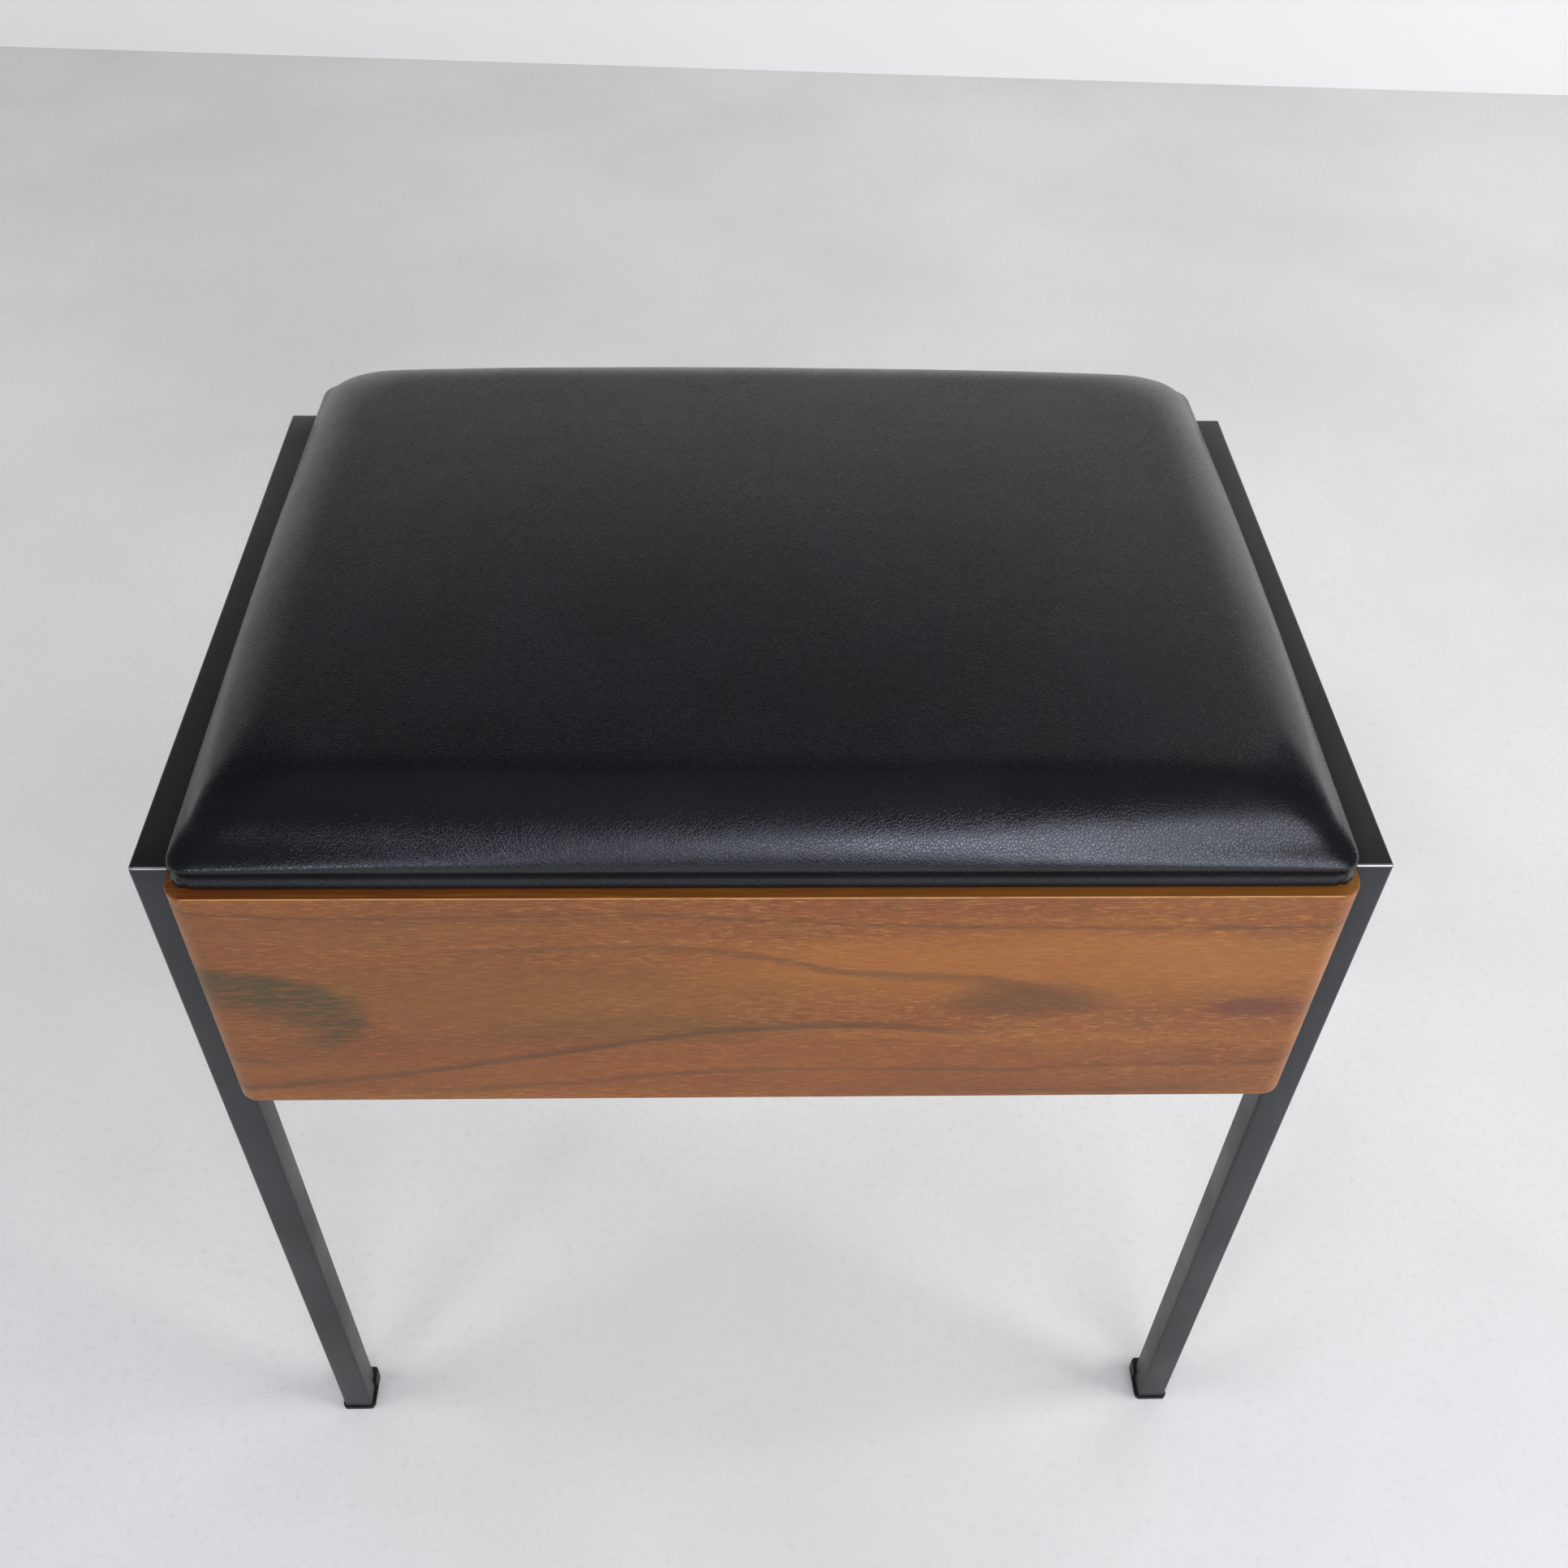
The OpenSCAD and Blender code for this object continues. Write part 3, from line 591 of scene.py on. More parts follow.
def woven_lining():
    material, tree, place = open_material("woven_cotton_lining", {
        "IOR": 1.45, "Sheen Weight": 0.25, "Sheen Roughness": 0.5,
    })
    warp, weft = (add(tree, "TexWave", {
        "Vector": place, "Scale": 1 / WAVES_PER_SCALE / THREAD_PITCH, "Distortion": 0.6,
        "Detail": 1,
    }, 1, bands_direction=way) for way in "XY")
    weave = add(tree, "Math", {0: warp, 1: weft}, operation="MULTIPLY")
    thread = stained(tree, place, "#4A433B", [("#5A5248", (9, 1.2, 9), 3, 0, 0.35, 0.70, 0.5)])
    return close_material(material, {
        "Base Color": stained(tree, place, "#26221E", [(thread, weave)]),
        "Roughness": add(tree, "MapRange", {0: weave, 3: 0.95, 4: 0.75}),
        "Normal": add(tree, "Bump", {"Height": weave, "Distance": THREAD_DEPTH}),
    })


# %% [markdown]
# Three metals by one recipe: rolled brass for the hinges, dulled by age in blotches,
# zinc-plated steel for the screws, and thin bright wire for the staples.

# %% Metals
BRUSH_WIDTH, BRUSH_DEPTH = 0.25, 0.01 * MM


def metal(name, colour, tarnish, rough, brushed):
    material, tree, place = open_material(name, {"Metallic": 1.0})
    size = (brushed, BRUSH_WIDTH, BRUSH_WIDTH)
    lines = stain_mask(tree, place, size, 2, 0, 0.3, 0.7)
    return close_material(material, {
        "Base Color": stained(tree, place, colour, [(tarnish, 5, 5, 0, 0.45, 0.75, 1.0)]),
        "Roughness": stain_mask(tree, place, size, 2, 0, 0.3, 0.7, rough, rough + 0.16),
        "Normal": add(tree, "Bump", {"Height": lines, "Distance": BRUSH_DEPTH}),
    })


# %% Mix every finish once
ENAMEL = black_enamel()
PLASTIC = black_plastic()
TEAK_FRONT = teak_front()
TEAK_BACK = teak_panel("teak_veneer_back", 0, 0.35)
TEAK_SIDE = teak_panel("teak_veneer_side", 1, 0.1)
BEECH_X = plain_wood("beech_along", 0, "#C9A06C", "#B5854F", "#8E6236", 0.5)
BEECH_Y = plain_wood("beech_across", 1, "#C9A06C", "#B5854F", "#8E6236", 0.5)
PLYWOOD = plain_wood("gaboon_plywood", 0, "#B08457", "#96683E", "#7A5230", 0.6)
LEATHER = leather_cloth()
LINING = woven_lining()
BRASS = metal("aged_rolled_brass", "#B99A55", "#7C6332", 0.28, 9)
ZINC = metal("zinc_plated_steel", "#B9BBBC", "#84868A", 0.3, 4)
WIRE = metal("bright_steel_wire", "#C8C8C6", "#9A9A98", 0.25, 3)
print("materials:", len(bpy.data.materials))

# %% [markdown]
# Each side frame is two legs and a rail of 15 mm square tube, welded in mitres and ground
# flush, so it is one piece. A cube at the front top corner is pulled down for the front leg,
# back for the rail and down again for the rear leg. Then the tube's long corners are
# rounded, the sharp outer corners are broken very slightly, and a small weld fills each
# inner corner.

# %% Welded side frames
TUBE_ROUND = 1.5 * MM
ARRIS_BREAK = 0.7 * MM
WELD_LEG = 2.2 * MM
FACING = 0.9
CLOSE = 0.01 * MM


def pull(distance):
    """Extrudes what is selected by a vector."""
    bpy.ops.mesh.extrude_region_move(TRANSFORM_OT_translate={"value": distance})


def side_frame(side):
    low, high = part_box(side + "_front_leg")
    rear_low, rear_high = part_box(side + "_rear_leg")
    tube = high.x - low.x
    under, inside = high.z - tube, rear_high.y - tube
    centre = Vector(((low.x + high.x) / 2, low.y + tube / 2, high.z - tube / 2))
    bpy.ops.mesh.primitive_cube_add(size=tube, location=centre)
    piece = bpy.context.object
    take(piece)
    bpy.ops.object.transform_apply(location=True)
    edit(piece)
    choose("faces", lambda f: f.normal.z < -FACING)
    pull((0, 0, low.z - under))
    choose("faces", lambda f: f.normal.y > FACING and middle(f).z > under)
    pull((0, inside - (low.y + tube), 0))
    pull((0, tube, 0))
    choose("faces", lambda f: f.normal.z < -FACING and middle(f).y > inside)
    pull((0, 0, rear_low.z - under))

    def long_corner(edge):
        if len(edge.link_faces) != 2 or max(v.co.z for v in edge.verts) < low.z + CLOSE:
            return False
        sides = [abs(f.normal.x) > FACING for f in edge.link_faces]
        return sides[0] != sides[1]

    def crosses(edge, y, z):
        spot = middle(edge)
        flat = abs(edge.verts[0].co.x - edge.verts[1].co.x) > tube / 2
        return flat and abs(abs(spot.y) - y) < CLOSE and abs(spot.z - z) < CLOSE

    choose("edges", long_corner)
    bpy.ops.mesh.bevel(offset=TUBE_ROUND, segments=4, affect="EDGES")
    choose("edges", lambda e: crosses(e, rear_high.y, high.z))
    bpy.ops.mesh.bevel(offset=ARRIS_BREAK, segments=3, affect="EDGES")
    choose("edges", lambda e: crosses(e, inside, under))
    bpy.ops.mesh.bevel(offset=WELD_LEG, segments=4, affect="EDGES")
    return finish_piece(
        piece, side + "_side_frame", "frame_and_box", ENAMEL,
        [side + "_top_rail", side + "_front_leg", side + "_rear_leg"], smooth=40,
    )


for side in ("left", "right"):
    built = side_frame(side)
    print(built.name, "faces:", len(built.data.polygons))


# %% [markdown]
# No real edge is perfectly sharp, and a thin line of light runs along each rounded one. So
# the small pieces are copied from their solids, their loose triangles are merged into faces
# again, and their edges are eased by a fraction of a millimetre.

# %% Easing the edges of a solid
MERGE = 0.002 * MM
FLAT, SHARP = math.radians(1), math.radians(32)


def eased(node, body, material, ease_mm, segments=2):
    """A copy of a solid with its edges rounded, which stands for it."""
    copy = new_object(node + "_eased", nodes[node].data.copy())
    edit(copy)
    bpy.ops.mesh.select_all(action="SELECT")
    bpy.ops.mesh.remove_doubles(threshold=MERGE)
    bpy.ops.mesh.customdata_custom_splitnormals_clear()
    bpy.ops.mesh.dissolve_limited(angle_limit=FLAT)
    choose("edges", lambda e: len(e.link_faces) == 2 and e.calc_face_angle(0) > SHARP)
    bpy.ops.mesh.bevel(
        offset=ease_mm * MM, segments=segments, affect="EDGES", clamp_overlap=True, profile=0.5,
    )
    return finish_piece(copy, node + "_eased", body, material, [node], smooth=30)


# %% Feet, runners, hinges and tray
for side in ("left", "right"):
    for end in ("front", "rear"):
        eased(f"{side}_{end}_foot", "frame_and_box", PLASTIC, 0.35)
for node in ("front_runner", "rear_runner"):
    eased(node, "frame_and_box", BEECH_X, 0.8)
for side in ("left", "right"):
    eased(side + "_hinge_box_leaf", "frame_and_box", BRASS, 0.12)
    eased(side + "_hinge_pin", "frame_and_box", BRASS, 0.15)
    eased(side + "_hinge_lid_leaf", "lid", BRASS, 0.12)
for node in ("tray_front", "tray_rear"):
    eased(node, "tray", BEECH_X, 0.35)
for node in ("tray_left_end", "tray_right_end", "tray_long_divider"):
    eased(node, "tray", BEECH_Y, 0.35)
eased("tray_cross_dividers", "tray", BEECH_X, 0.35)
eased("thread_pegs", "tray", BEECH_Y, 0.9, 4)

# %% [markdown]
# The large panels keep their own solids, whose edges are already broken, and only get their
# veneer. So does what is hidden or too thin to ease.

# %% Finishes on the solids that stay
KEPT_SOLIDS = {
    "box_front": TEAK_FRONT,
    "box_back": TEAK_BACK,
    "box_left_side": TEAK_SIDE,
    "box_right_side": TEAK_SIDE,
    "box_bottom": PLYWOOD,
    "box_dowels": BEECH_Y,
    "lid_board": PLYWOOD,
    "cover_staples": WIRE,
    "lining_staples": WIRE,
    "tray_bottom": PLYWOOD,
}
for node, material in KEPT_SOLIDS.items():
    coat(nodes[node], material)

# %% [markdown]
# Screws are slotted, as in furniture of that age. One is modelled from a disc: its rim
# drawn in under the head, then pulled out for the shank, with a slot cut across the top. The
# others are copies on the places of the plain ones, each turned a little differently.

# %% Slotted screws
SLOT_TURN = 37
# shares of the head's radius, or of its height
RIM_FROM, RIM_BREAK, SLOT_LONG, SLOT_WIDE, SLOT_HIGH = 0.9, 0.06, 2.4, 0.24, 0.7
UP = Vector((0, 0, 1))


def slotted_screw(head_r, head_h, shank_r, length):
    """A screw at the origin, its head's face at z = 0 and its shank below."""
    bpy.ops.mesh.primitive_circle_add(vertices=32, radius=head_r, fill_type="NGON")
    screw = bpy.context.object
    edit(screw)
    bpy.ops.mesh.select_all(action="SELECT")
    share = shank_r / head_r
    pull((0, 0, -head_h))
    bpy.ops.transform.resize(value=(share, share, 1), center_override=(0, 0, -head_h))
    pull((0, 0, head_h - length))
    bpy.ops.mesh.select_all(action="SELECT")
    bpy.ops.mesh.normals_make_consistent(inside=False)
    choose("edges", lambda e: middle(e).xy.length > head_r * RIM_FROM and abs(middle(e).z) < CLOSE)
    bpy.ops.mesh.bevel(offset=head_h * RIM_BREAK, segments=2, affect="EDGES")
    bpy.ops.object.mode_set(mode="OBJECT")
    bpy.ops.mesh.primitive_cube_add(size=1, location=(0, 0, 0))
    blade = bpy.context.object
    blade.scale = (head_r * SLOT_LONG, head_r * SLOT_WIDE, head_h * SLOT_HIGH)
    modify(screw, "BOOLEAN", operation="DIFFERENCE", object=blade, solver="EXACT")
    bpy.data.objects.remove(blade)
    return screw


def solid_boxes(node):
    """The box of each separate solid of a node, found by walking over its merged mesh."""
    mesh = bmesh.new()
    mesh.from_mesh(nodes[node].data)
    bmesh.ops.remove_doubles(mesh, verts=mesh.verts, dist=MERGE)
    left = set(mesh.verts)
    boxes = []
    while left:
        waiting, spots = [left.pop()], []
        while waiting:
            vert = waiting.pop()
            spots.append(vert.co.copy())
            near = {edge.other_vert(vert) for edge in vert.link_edges} & left
            left -= near
            waiting += near
        boxes.append(tuple(
            Vector([pick(s[i] for s in spots) for i in range(3)]) for pick in (min, max)
        ))
    mesh.free()
    return sorted(boxes, key=lambda b: tuple(b[0]))


def screw_set(node, facing, head_h, shank_r, body, material):
    """Slotted screws in the places of a node's plain ones. facing gives the way a head looks."""
    copies = []
    for count, (low, high) in enumerate(solid_boxes(node)):
        way, size = facing(low), high - low
        length = abs(size.dot(way))
        if not copies:
            head_r = (size.x if way.z else size.y) / 2
            model = slotted_screw(head_r, head_h, shank_r, length)
        screw = new_object(node + "_copy", model.data.copy())
        lie = way.to_track_quat("Z", "Y").to_matrix().to_4x4()
        turn = Matrix.Rotation(math.radians(SLOT_TURN * count), 4, "Z")
        screw.data.transform(Matrix.Translation((low + high + way * length) / 2) @ lie @ turn)
        copies.append(screw)
    bpy.data.objects.remove(model)
    take(*copies)
    bpy.ops.object.join()
    print(node, "screws:", len(copies))
    finish_piece(copies[0], node + "_slotted", body, material, [node], smooth=30)


screw_set("frame_screws", lambda low: Vector((-math.copysign(1, low.x), 0, 0)),
          2.4 * MM, 2.4 * MM, "frame_and_box", ZINC)
screw_set("hinge_box_screws", lambda low: UP,
          1 * MM, 1.1 * MM, "frame_and_box", BRASS)
screw_set("hinge_lid_screws", lambda low: -UP,
          1 * MM, 1.1 * MM, "lid", BRASS)

# %% [markdown]
# The seat is a board with foam on it and leather cloth pulled over both and stapled
# underneath. Its sides rise in a quarter round and draw in towards the corners. Below, the
# cover is tight over the board's edge and the foam rolls out a little over it: a dark crease
# with a soft roll above. The skin is a grid whose outer rings stand up as the side, so its
# faces follow the highlight along the front edge. It starts flat on top, a little too low.

# %% The seat's form, from the edge inwards
EDGE_H = 4.7 * MM
PAD_RISE = 30 * MM
PAD_RUN = 31 * MM
CORNER_R = 8 * MM
CORNER_GROW = 0.73
CORNER_DROP = 0.15
CORNER_POWER = 6
CORNER_BOW = 5 * MM
BOW_FROM, BOW_TO = 4 * MM, 15 * MM
CROWN = 3 * MM
CREASE_IN, CREASE_UP, CREASE_H = 1.2 * MM, 2.0 * MM, 2.4 * MM
ROLL_OUT, ROLL_H = 0.9 * MM, 6 * MM
EDGE_RINGS, SIDE_RINGS, TOP_RINGS = 4, 18, 24
SIDE_SPREAD = 1.5
LONG_EXTRA = 30
CLOSER_AT_CORNERS = 0.3
seat_low, seat_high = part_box("seat_cover")
HALF_X, HALF_Y = seat_high.x, seat_high.y


def roll(over_edge):
    """How far the side stands out at a height over its upright edge, or below it if negative."""
    crease = CREASE_IN * math.exp(-(((over_edge - CREASE_UP) / CREASE_H) ** 2))
    if over_edge <= 0:
        return -crease
    share = over_edge / ROLL_H
    return ROLL_OUT * share * math.exp(1 - share) - crease


def station(ring):
    """(inset from the edge, height over the base, share of the full lift) of a ring."""
    if ring <= EDGE_RINGS:
        level = EDGE_H * ring / EDGE_RINGS
        return -roll(level - EDGE_H), level, 0.0
    if ring <= EDGE_RINGS + SIDE_RINGS:
        turn = math.pi / 2 * ((ring - EDGE_RINGS) / SIDE_RINGS) ** SIDE_SPREAD
        inset = PAD_RUN * (1 - math.cos(turn)) - roll(PAD_RISE * math.sin(turn))
        return inset, EDGE_H, math.sin(turn)
    step = (ring - EDGE_RINGS - SIDE_RINGS) / TOP_RINGS
    return PAD_RUN + (HALF_Y - PAD_RUN) * step, EDGE_H, 1.0


def bow(lift):
    """How far the sides draw in at a corner, for a ring of this lift."""
    share = min(1, max(0, (PAD_RISE * lift - BOW_FROM) / (BOW_TO - BOW_FROM)))
    return CORNER_BOW * share * share * (3 - 2 * share)


def outline_point(side_share, half_along, half_across, radius):
    """A point on one side of a rounded rectangle, from corner middle (-1) to corner middle (1).
    Returns it as (along the side, out from the middle)."""
    arc = radius * math.pi / 4
    straight = half_along - radius
    spread = 1 + CLOSER_AT_CORNERS * (1 - side_share ** 2)
    reach = abs(side_share) * spread * (straight + arc)
    sign = math.copysign(1, side_share)
    if reach <= straight:
        return sign * reach, half_across
    turn = (reach - straight) / radius if radius > 0 else 0
    return sign * (straight + radius * math.sin(turn)), half_across - radius * (1 - math.cos(turn))


def ring_place(i, j, count_x, count_y, inset, radius):
    """Where grid point i, j lands on the outline of its ring."""
    ring = min(i, count_x - i, j, count_y - j)
    half_x, half_y = HALF_X - inset, HALF_Y - inset
    radius = min(radius, half_y)
    if ring in (j, count_y - j):
        cells = count_x - 2 * ring
        share = 2 * (i - ring) / cells - 1 if cells else 0
        along, out = outline_point(share, half_x, half_y, radius)
        return along, -out if ring == j else out
    cells = count_y - 2 * ring
    share = 2 * (j - ring) / cells - 1 if cells else 0
    along, out = outline_point(share, half_y, half_x, radius)
    return (-out if ring == i else out), along


# %% Raise the seat's skin from two grids
def skin(top_side):
    rings = EDGE_RINGS + SIDE_RINGS + TOP_RINGS
    count_y = 2 * rings
    count_x = count_y + LONG_EXTRA
    bpy.ops.mesh.primitive_grid_add(x_subdivisions=count_x, y_subdivisions=count_y, size=2)
    sheet = bpy.context.object
    for vert in sheet.data.vertices:
        i = round((vert.co.x + 1) / 2 * count_x)
        j = round((vert.co.y + 1) / 2 * count_y)
        ring = min(i, count_x - i, j, count_y - j)
        if top_side:
            inset, level, lift = station(ring)
        else:
            inset, level, lift = HALF_Y * ring / rings, 0.0, 0.0
        radius = CORNER_R + CORNER_GROW * inset
        x, y = ring_place(i, j, count_x, count_y, inset, radius)
        u, v = x / HALF_X, y / HALF_Y
        sunk = CORNER_DROP * abs(u * v) ** CORNER_POWER
        vert.co = (
            x * (1 - bow(lift) * v * v / HALF_X), y * (1 - bow(lift) * u * u / HALF_Y),
            seat_low.z + level + PAD_RISE * lift * (1 - sunk),
        )
    return sheet


def seat_skin():
    top, under = skin(True), skin(False)
    take(top, under)
    bpy.ops.object.join()
    edit(top)
    bpy.ops.mesh.select_all(action="SELECT")
    bpy.ops.mesh.remove_doubles(threshold=CLOSE)
    bpy.ops.mesh.normals_make_consistent(inside=False)
    bpy.ops.object.mode_set(mode="OBJECT")
    return top


cushion = seat_skin()
print("seat skin:", len(cushion.data.vertices), "points")

# %% [markdown]
# The foam pushes out and the cover holds it in, which is a job for cloth simulation: the
# lower edge is pinned and a little pressure swells the rest, without gravity. A grid folds
# more easily along its diagonals, which real cloth doesn't do, so the smooth surface nearest
# to the points' movement is taken instead. It is scaled until the middle rises by the height
# of the crown, which is known.

# %% Let the pressure out
PRESSURE, STIFFNESS, BENDING, QUALITY = 4, 40, 2, 5
CAP = 3.4 * MM
FIT_TERMS = 3
FRAMES = 20


def smoothest(places, steps):
    """The steps, as the nearest smooth surfaces: even polynomials over the seat's plan that
    fade out down its side."""
    u, v = places[:, 0] / HALF_X, places[:, 1] / HALF_Y
    lift = np.clip((places[:, 2] - seat_low.z - EDGE_H) / PAD_RISE, 0, 1)
    fitted = np.zeros_like(steps)
    for axis, odd in enumerate((u, v, 1)):
        terms = np.stack([
            odd * lift * u ** (2 * i) * v ** (2 * j) for i in range(FIT_TERMS)
            for j in range(FIT_TERMS)
        ], axis=1)
        weights = np.linalg.lstsq(terms, steps[:, axis], rcond=None)[0]
        fitted[:, axis] = terms @ weights
    return fitted


def swell(piece):
    start = np.array([v.co[:] for v in piece.data.vertices])
    held = piece.vertex_groups.new(name="stapled")
    pinned = [v.index for v in piece.data.vertices if v.co.z < seat_low.z + EDGE_H * 1.01]
    held.add(pinned, 1.0, "REPLACE")
    take(piece)
    cloth = piece.modifiers.new("cover", "CLOTH")
    settings = cloth.settings
    settings.quality = QUALITY
    settings.vertex_group_mass = held.name
    settings.use_pressure = True
    settings.uniform_pressure_force = PRESSURE
    settings.effector_weights.gravity = 0
    settings.tension_stiffness = settings.compression_stiffness = STIFFNESS
    settings.bending_stiffness = BENDING
    scene = bpy.context.scene
    for number in range(1, FRAMES + 1):
        scene.frame_set(number)
    ready = piece.evaluated_get(bpy.context.evaluated_depsgraph_get())
    moved = np.array([v.co[:] for v in ready.data.vertices])
    piece.modifiers.remove(cloth)
    scene.frame_set(1)
    piece.vertex_groups.clear()
    rise = smoothest(start, moved - start)
    centre = rise[:, 2].max()
    print("middle rose by", round(centre / MM, 2), "mm before scaling")
    for vert, place, step in zip(piece.data.vertices, start, rise * CROWN / centre):
        step = Vector(step)
        vert.co = Vector(place) + step * min(1, CAP / max(step.length, MM / 1000))


swell(cushion)

# %% [markdown]
# Flat cloth that goes round a corner is gathered in small tucks, stapled underneath. They
# show as short creases at the foot of each corner, the deepest where the front edge begins
# to turn. The skin is divided once more and pressed in along each tuck, and the rounded side
# gets the faint unevenness of foam under a tight cover.

# %% Tucks at the corners
# angle round the corner from the side towards the front or rear, depth
TUCKS = ((10, 0.5 * MM), (46, 0.6 * MM), (82, 0.9 * MM))
TUCK_WIDTH = 0.9 * MM
TUCK_SPAN = -30, 120
TUCK_HEIGHT, TUCK_FADE = 9.5 * MM, 1.3
UNDERSIDE = 0.2 * MM
WAVE_SIZE, RIPPLE_SIZE = 38 * MM, 38 * MM * 0.3
WAVE_DEPTH, RIPPLE_SHARE = 0.28 * MM, 0.4


def tuck(piece):
    for vert in piece.data.vertices:
        place = vert.co
        outward = Vector((
            abs(place.x) - (HALF_X - CORNER_R), abs(place.y) - (HALF_Y - CORNER_R), 0,
        ))
        angle = math.degrees(math.atan2(outward.y, outward.x))
        fade = max(0.0, 1 - (place.z - seat_low.z) / TUCK_HEIGHT) ** TUCK_FADE
        if not fade or not TUCK_SPAN[0] < angle < TUCK_SPAN[1] or outward.length < CORNER_R / 4:
            continue
        outward.normalize()
        outward.x, outward.y = (math.copysign(a, b) for a, b in zip(outward.xy, place.xy))
        for tuck_angle, depth in TUCKS:
            off = math.radians(angle - tuck_angle) * CORNER_R
            pressed = depth * fade * math.exp(-(off / TUCK_WIDTH) ** 2)
            if place.z < seat_low.z + UNDERSIDE:
                place.z += pressed / 2
            else:
                place -= outward * pressed


def uneven(piece):
    """Slow unevenness of the foam, strongest on the rounded side."""
    for vert in piece.data.vertices:
        lift = (vert.co.z - seat_low.z - EDGE_H) / PAD_RISE
        if lift <= 0:
            continue
        strength = WAVE_DEPTH * math.sin(min(lift, 1) * math.pi * 0.9)
        ripple = noise.noise(vert.co / RIPPLE_SIZE)
        vert.co.z += strength * (noise.noise(vert.co / WAVE_SIZE) + RIPPLE_SHARE * ripple)


modify(cushion, "SUBSURF", levels=1, render_levels=1)
tuck(cushion)
uneven(cushion)
finish_piece(cushion, "seat_cushion", "lid", LEATHER,
             ["seat_cover", "seat_foam"], smooth=60)
print("cushion faces:", len(cushion.data.polygons))

# %% [markdown]
# The lining is a flat cut of cotton, its edge folded in once and stapled to the board all
# round. It hangs a hair between the staples and shows the fold as a low step.

# %% Lining under the lid
LINING_T = 0.5 * MM
LINING_CELLS = 132, 98
HEM_W = 9 * MM
HEM_STEP = 0.25 * MM
STAPLE_IN = 12 * MM
SAG, SAG_REACH, SAG_WAVE = 0.5 * MM, 60 * MM, 45 * MM
STAPLE_SAG = 0.12 * MM
STAPLE_GAPS = 8, 5


def lining_sheet():
    low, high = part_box("lid_lining")
    size = high - low
    across, along = LINING_CELLS
    bpy.ops.mesh.primitive_grid_add(x_subdivisions=across, y_subdivisions=along, size=1)
    sheet = bpy.context.object
    pitch = (size.x / STAPLE_GAPS[0], size.y / STAPLE_GAPS[1])
    for vert in sheet.data.vertices:
        x, y = vert.co.x * size.x, vert.co.y * size.y
        inward = min(size.x / 2 - abs(x), size.y / 2 - abs(y))
        drop = HEM_STEP if inward < HEM_W else 0.0
        if inward > STAPLE_IN:
            share = min(1, (inward - STAPLE_IN) / SAG_REACH)
            drop += SAG * share * (0.6 + 0.4 * noise.noise(Vector((x, y, 0)) / SAG_WAVE))
        else:
            gap = x / pitch[0] if abs(y) / size.y > abs(x) / size.x else y / pitch[1]
            drop += STAPLE_SAG * (0.5 + 0.5 * math.cos(math.tau * gap))
        vert.co = (x, y, high.z - LINING_T * 0.4 - drop)
    modify(sheet, "SOLIDIFY", thickness=LINING_T, offset=1)
    finish_piece(sheet, "lid_lining_cloth", "lid", LINING, ["lid_lining"],
                 smooth=40)
    return sheet


lining = lining_sheet()
print("lining area in m2:", round(sum(p.area for p in lining.data.polygons) / 2, 4))

# %% [markdown]
# The stage is a plain pale floor and a pale wall in soft light; the wall is painted darker
# from about 0.9 m up, as painted shade. What a black seat and black enamel show is mostly
# what they mirror: the wall, bright low down and painted dim above, a faint ceiling, and small
# windows in front, which the rounded front of the seat mirrors as one long highlight. Two
# large lamps at the sides light the rest, two small ones cast the shadows, and two wash the
# wall. From below the floor is clear, so that the underside can be looked at.

# %% Floor and wall
WALL_MIDDLE = (0, 1.787, 0)
WALL_TURN = -2.8
ROOM = 7.0
# heights in m where the wall's painted shade begins and where it is full
WALL_UNSHADED_TO, WALL_SHADE_FROM = 0.9, 2.2


def stage_plane(name, place, turn, material):
    bpy.ops.mesh.primitive_plane_add(size=2 * ROOM, location=place, rotation=turn)
    plane = bpy.context.object
    plane.name = name
    coat(plane, material)


def floor_paint():
    material, tree, place = open_material(
        "pale_floor", {"Roughness": 0.8, "Specular IOR Level": 0.2},
    )
    seen = add(tree, "MixShader", {
        0: add(tree, "NewGeometry", {}, "Backfacing"),
        1: tree.nodes["Principled BSDF"].outputs["BSDF"], 2: add(tree, "BsdfTransparent", {}),
    })
    tree.links.new(seen, tree.nodes["Material Output"].inputs["Surface"])
    return close_material(material, {"Base Color": stained(tree, place, "#D0D0CE", [
        ("#C6C6C4", 420, 5, 0, 0.3, 0.7, 1.0),
        ("#BCBCBA", 5, 3, 2, 0.5, 0.8, 0.5),
    ])})


def wall_paint():
    material, tree, place = open_material(
        "pale_wall", {"Roughness": 0.9, "Specular IOR Level": 0.1},
    )
    # painted shade: the wall's colour darkens with height
    height = add(tree, "SeparateXYZ", {0: add(tree, "NewGeometry", {}, "Position")}, "Z")
    painted_wall_shade = add(tree, "MapRange", {0: height, 1: WALL_UNSHADED_TO, 2: WALL_SHADE_FROM},
              interpolation_type="SMOOTHSTEP")
    return close_material(material, {
        "Base Color": stained(tree, place, "#D4D4D2", [("#6C6C6E", painted_wall_shade)]),
    })


stage_plane("floor", (0, 0, 0), (0, 0, 0), floor_paint())
stage_plane("wall", WALL_MIDDLE, (math.radians(90), 0, math.radians(WALL_TURN)), wall_paint())


# %% Lights
DAYLIGHT, LAMPLIGHT, WHITE = "#E4EAFF", "#F6F8FF", "#FFFFFF"
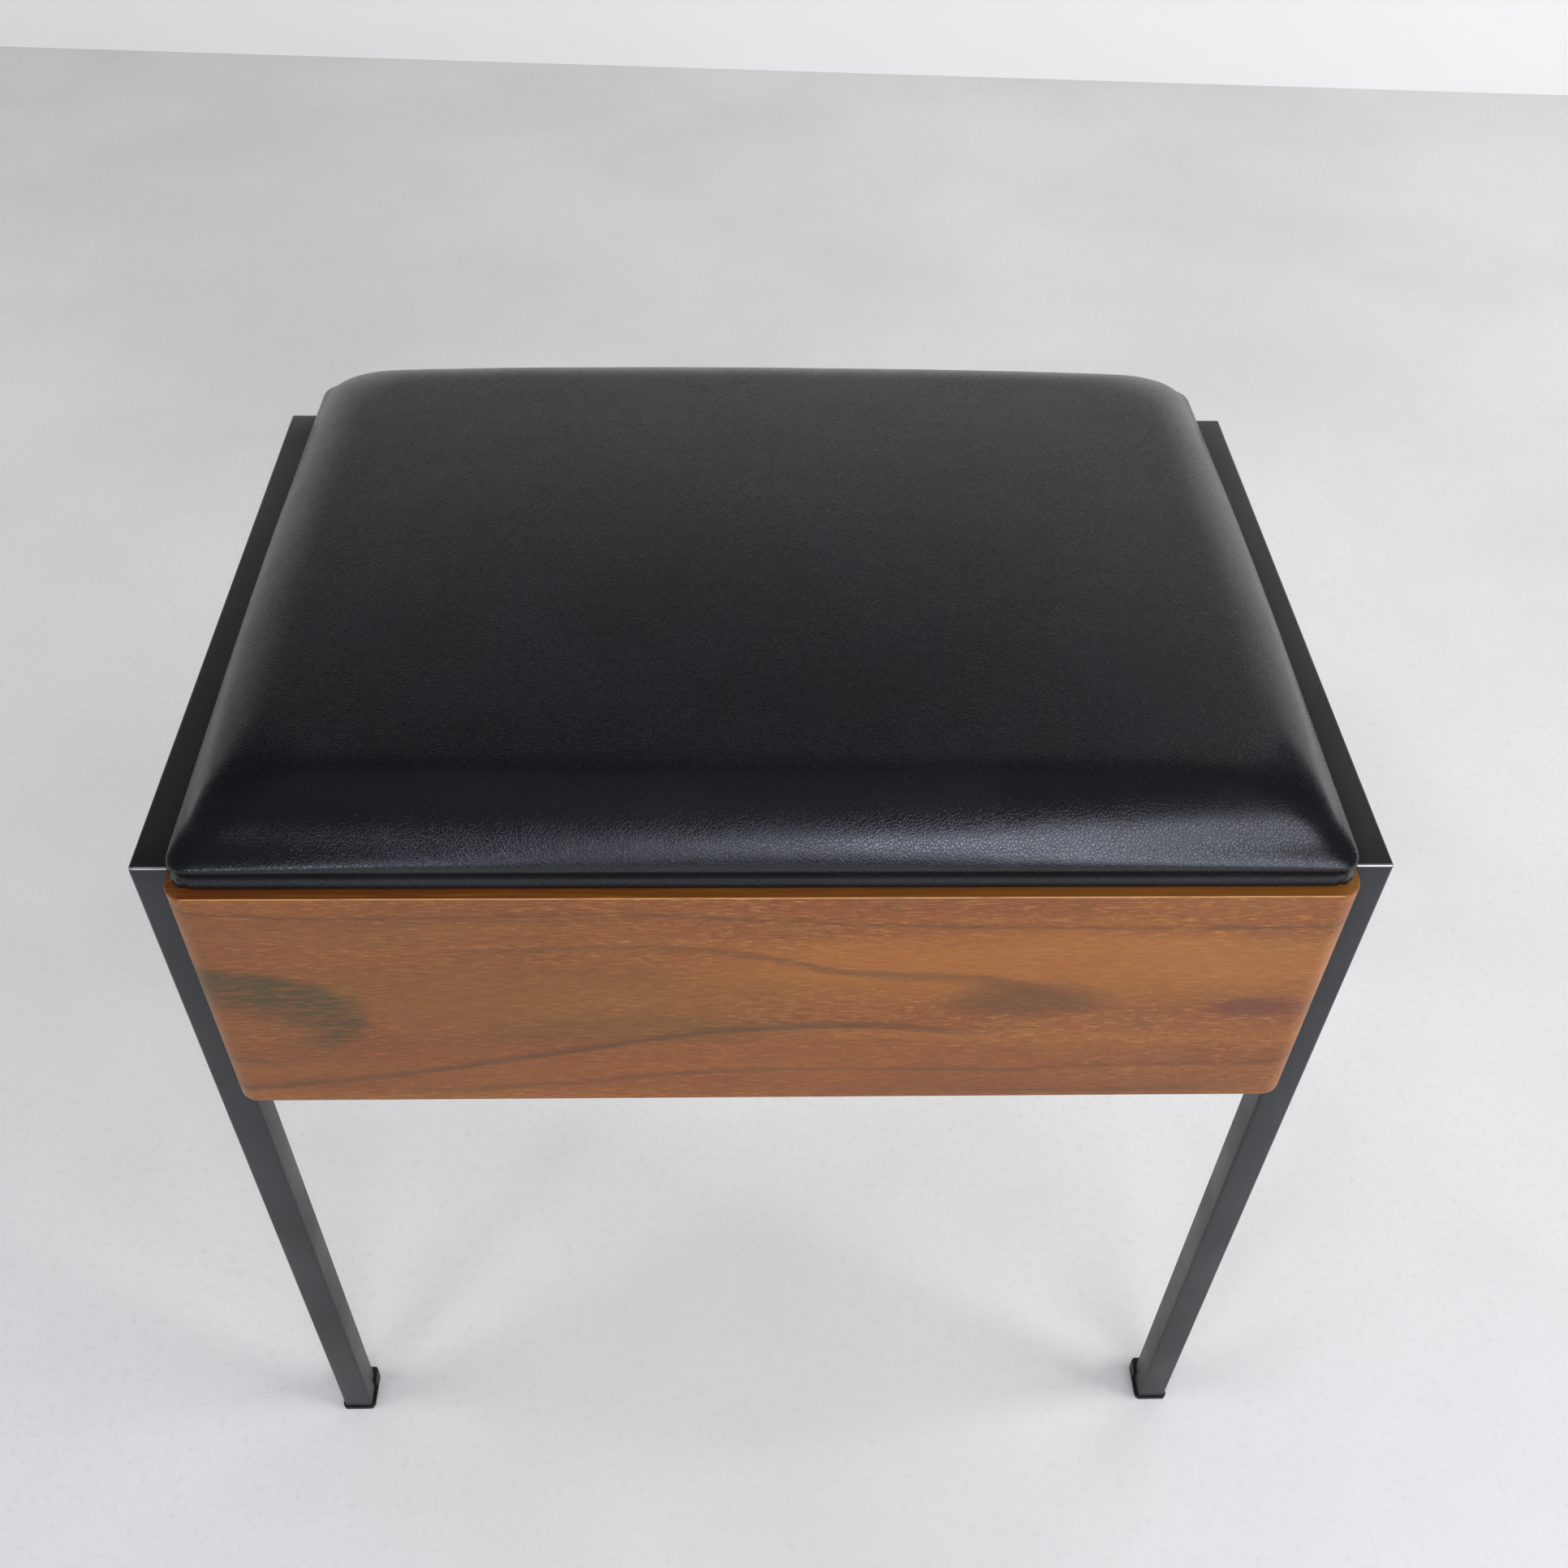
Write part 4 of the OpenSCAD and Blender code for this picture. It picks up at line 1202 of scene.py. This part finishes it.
# place, aim, size, power in watts, colour
LAMPS = {
    "window_near": ((0.12, -2.35, 0.98), (0, -0.16, 0.46), (0.66, 0.7), 3.2, DAYLIGHT),
    "window_mid": ((0.80, -2.20, 0.76), (0.1, -0.16, 0.46), (0.7, 0.8), 5, DAYLIGHT),
    "window_far": ((1.02, -2.10, 0.96), (0.15, -0.16, 0.46), (0.4, 0.34), 3, DAYLIGHT),
    "window_top": ((1.04, -2.20, 1.82), (0.1, -0.16, 0.46), (0.4, 0.3), 9, DAYLIGHT),
    "window_side": ((1.42, -1.95, 0.75), (0.15, -0.16, 0.46), (0.4, 0.6), 5, DAYLIGHT),
    "window_left": ((-0.86, -2.25, 0.72), (-0.15, -0.16, 0.46), (0.5, 0.3), 7.5, DAYLIGHT),
    "window_high": ((0.44, -2.20, 1.22), (0.1, -0.16, 0.46), (0.66, 0.6), 14.5, DAYLIGHT),
    "ceiling": ((0, -0.60, 2.60), (0, -0.59, 0.46), (2.4, 2.4), 2.6, WHITE),
    "far_right": ((1.50, 1.60, 2.55), (0.22, -0.12, 0.45), (0.7, 0.8), 2.4, WHITE),
    "wash_right": ((1.1, 0.9, 2.3), (1.0, 1.787, 0.9), (1.2, 0.5), 13, WHITE),
    "wash_left": ((-1.1, 0.9, 2.3), (-1.0, 1.787, 0.9), (1.2, 0.5), 5, WHITE),
    "side_right": ((2.4, -0.5, 1.0), (0, -0.1, 0.2), (1.4, 1.4), 75, WHITE),
    "side_left": ((-2.4, -0.5, 1.0), (0, -0.1, 0.2), (1.4, 1.4), 40, WHITE),
    "lamp_left": ((-1.15, -1.70, 1.35), (0, 0, 0.3), (0.35, 0.35), 8, LAMPLIGHT),
    "lamp_right": ((0.95, -1.10, 1.25), (0, 0, 0.3), (0.3, 0.3), 2, LAMPLIGHT),
}
# Mirrored, these would show as white patches on the seat's corners and near its front edge
NOT_MIRRORED = ("side_right", "side_left", "lamp_left", "wash_right", "wash_left")
ROOM_GLOW, ROOM_COLOUR = 0.15, "#E6E8EC"


def soft_light(name, place, aim, size, power, colour):
    data = bpy.data.lights.new(name, "AREA")
    data.shape, data.size, data.size_y = "RECTANGLE", *size
    data.energy, data.color = power, linear(colour)[:3]
    lamp = new_object(name, data)
    lamp.location = place
    lamp.rotation_euler = (Vector(aim) - Vector(place)).to_track_quat("-Z", "Y").to_euler()
    lamp.visible_glossy = name not in NOT_MIRRORED


for name, settings in LAMPS.items():
    soft_light(name, *settings)

world = bpy.data.worlds.new("room")
bpy.context.scene.world = world
world.use_nodes = True
glow = world.node_tree.nodes["Background"].inputs
glow["Color"].default_value, glow["Strength"].default_value = linear(ROOM_COLOUR), ROOM_GLOW
bpy.context.scene.view_settings.view_transform = "Standard"
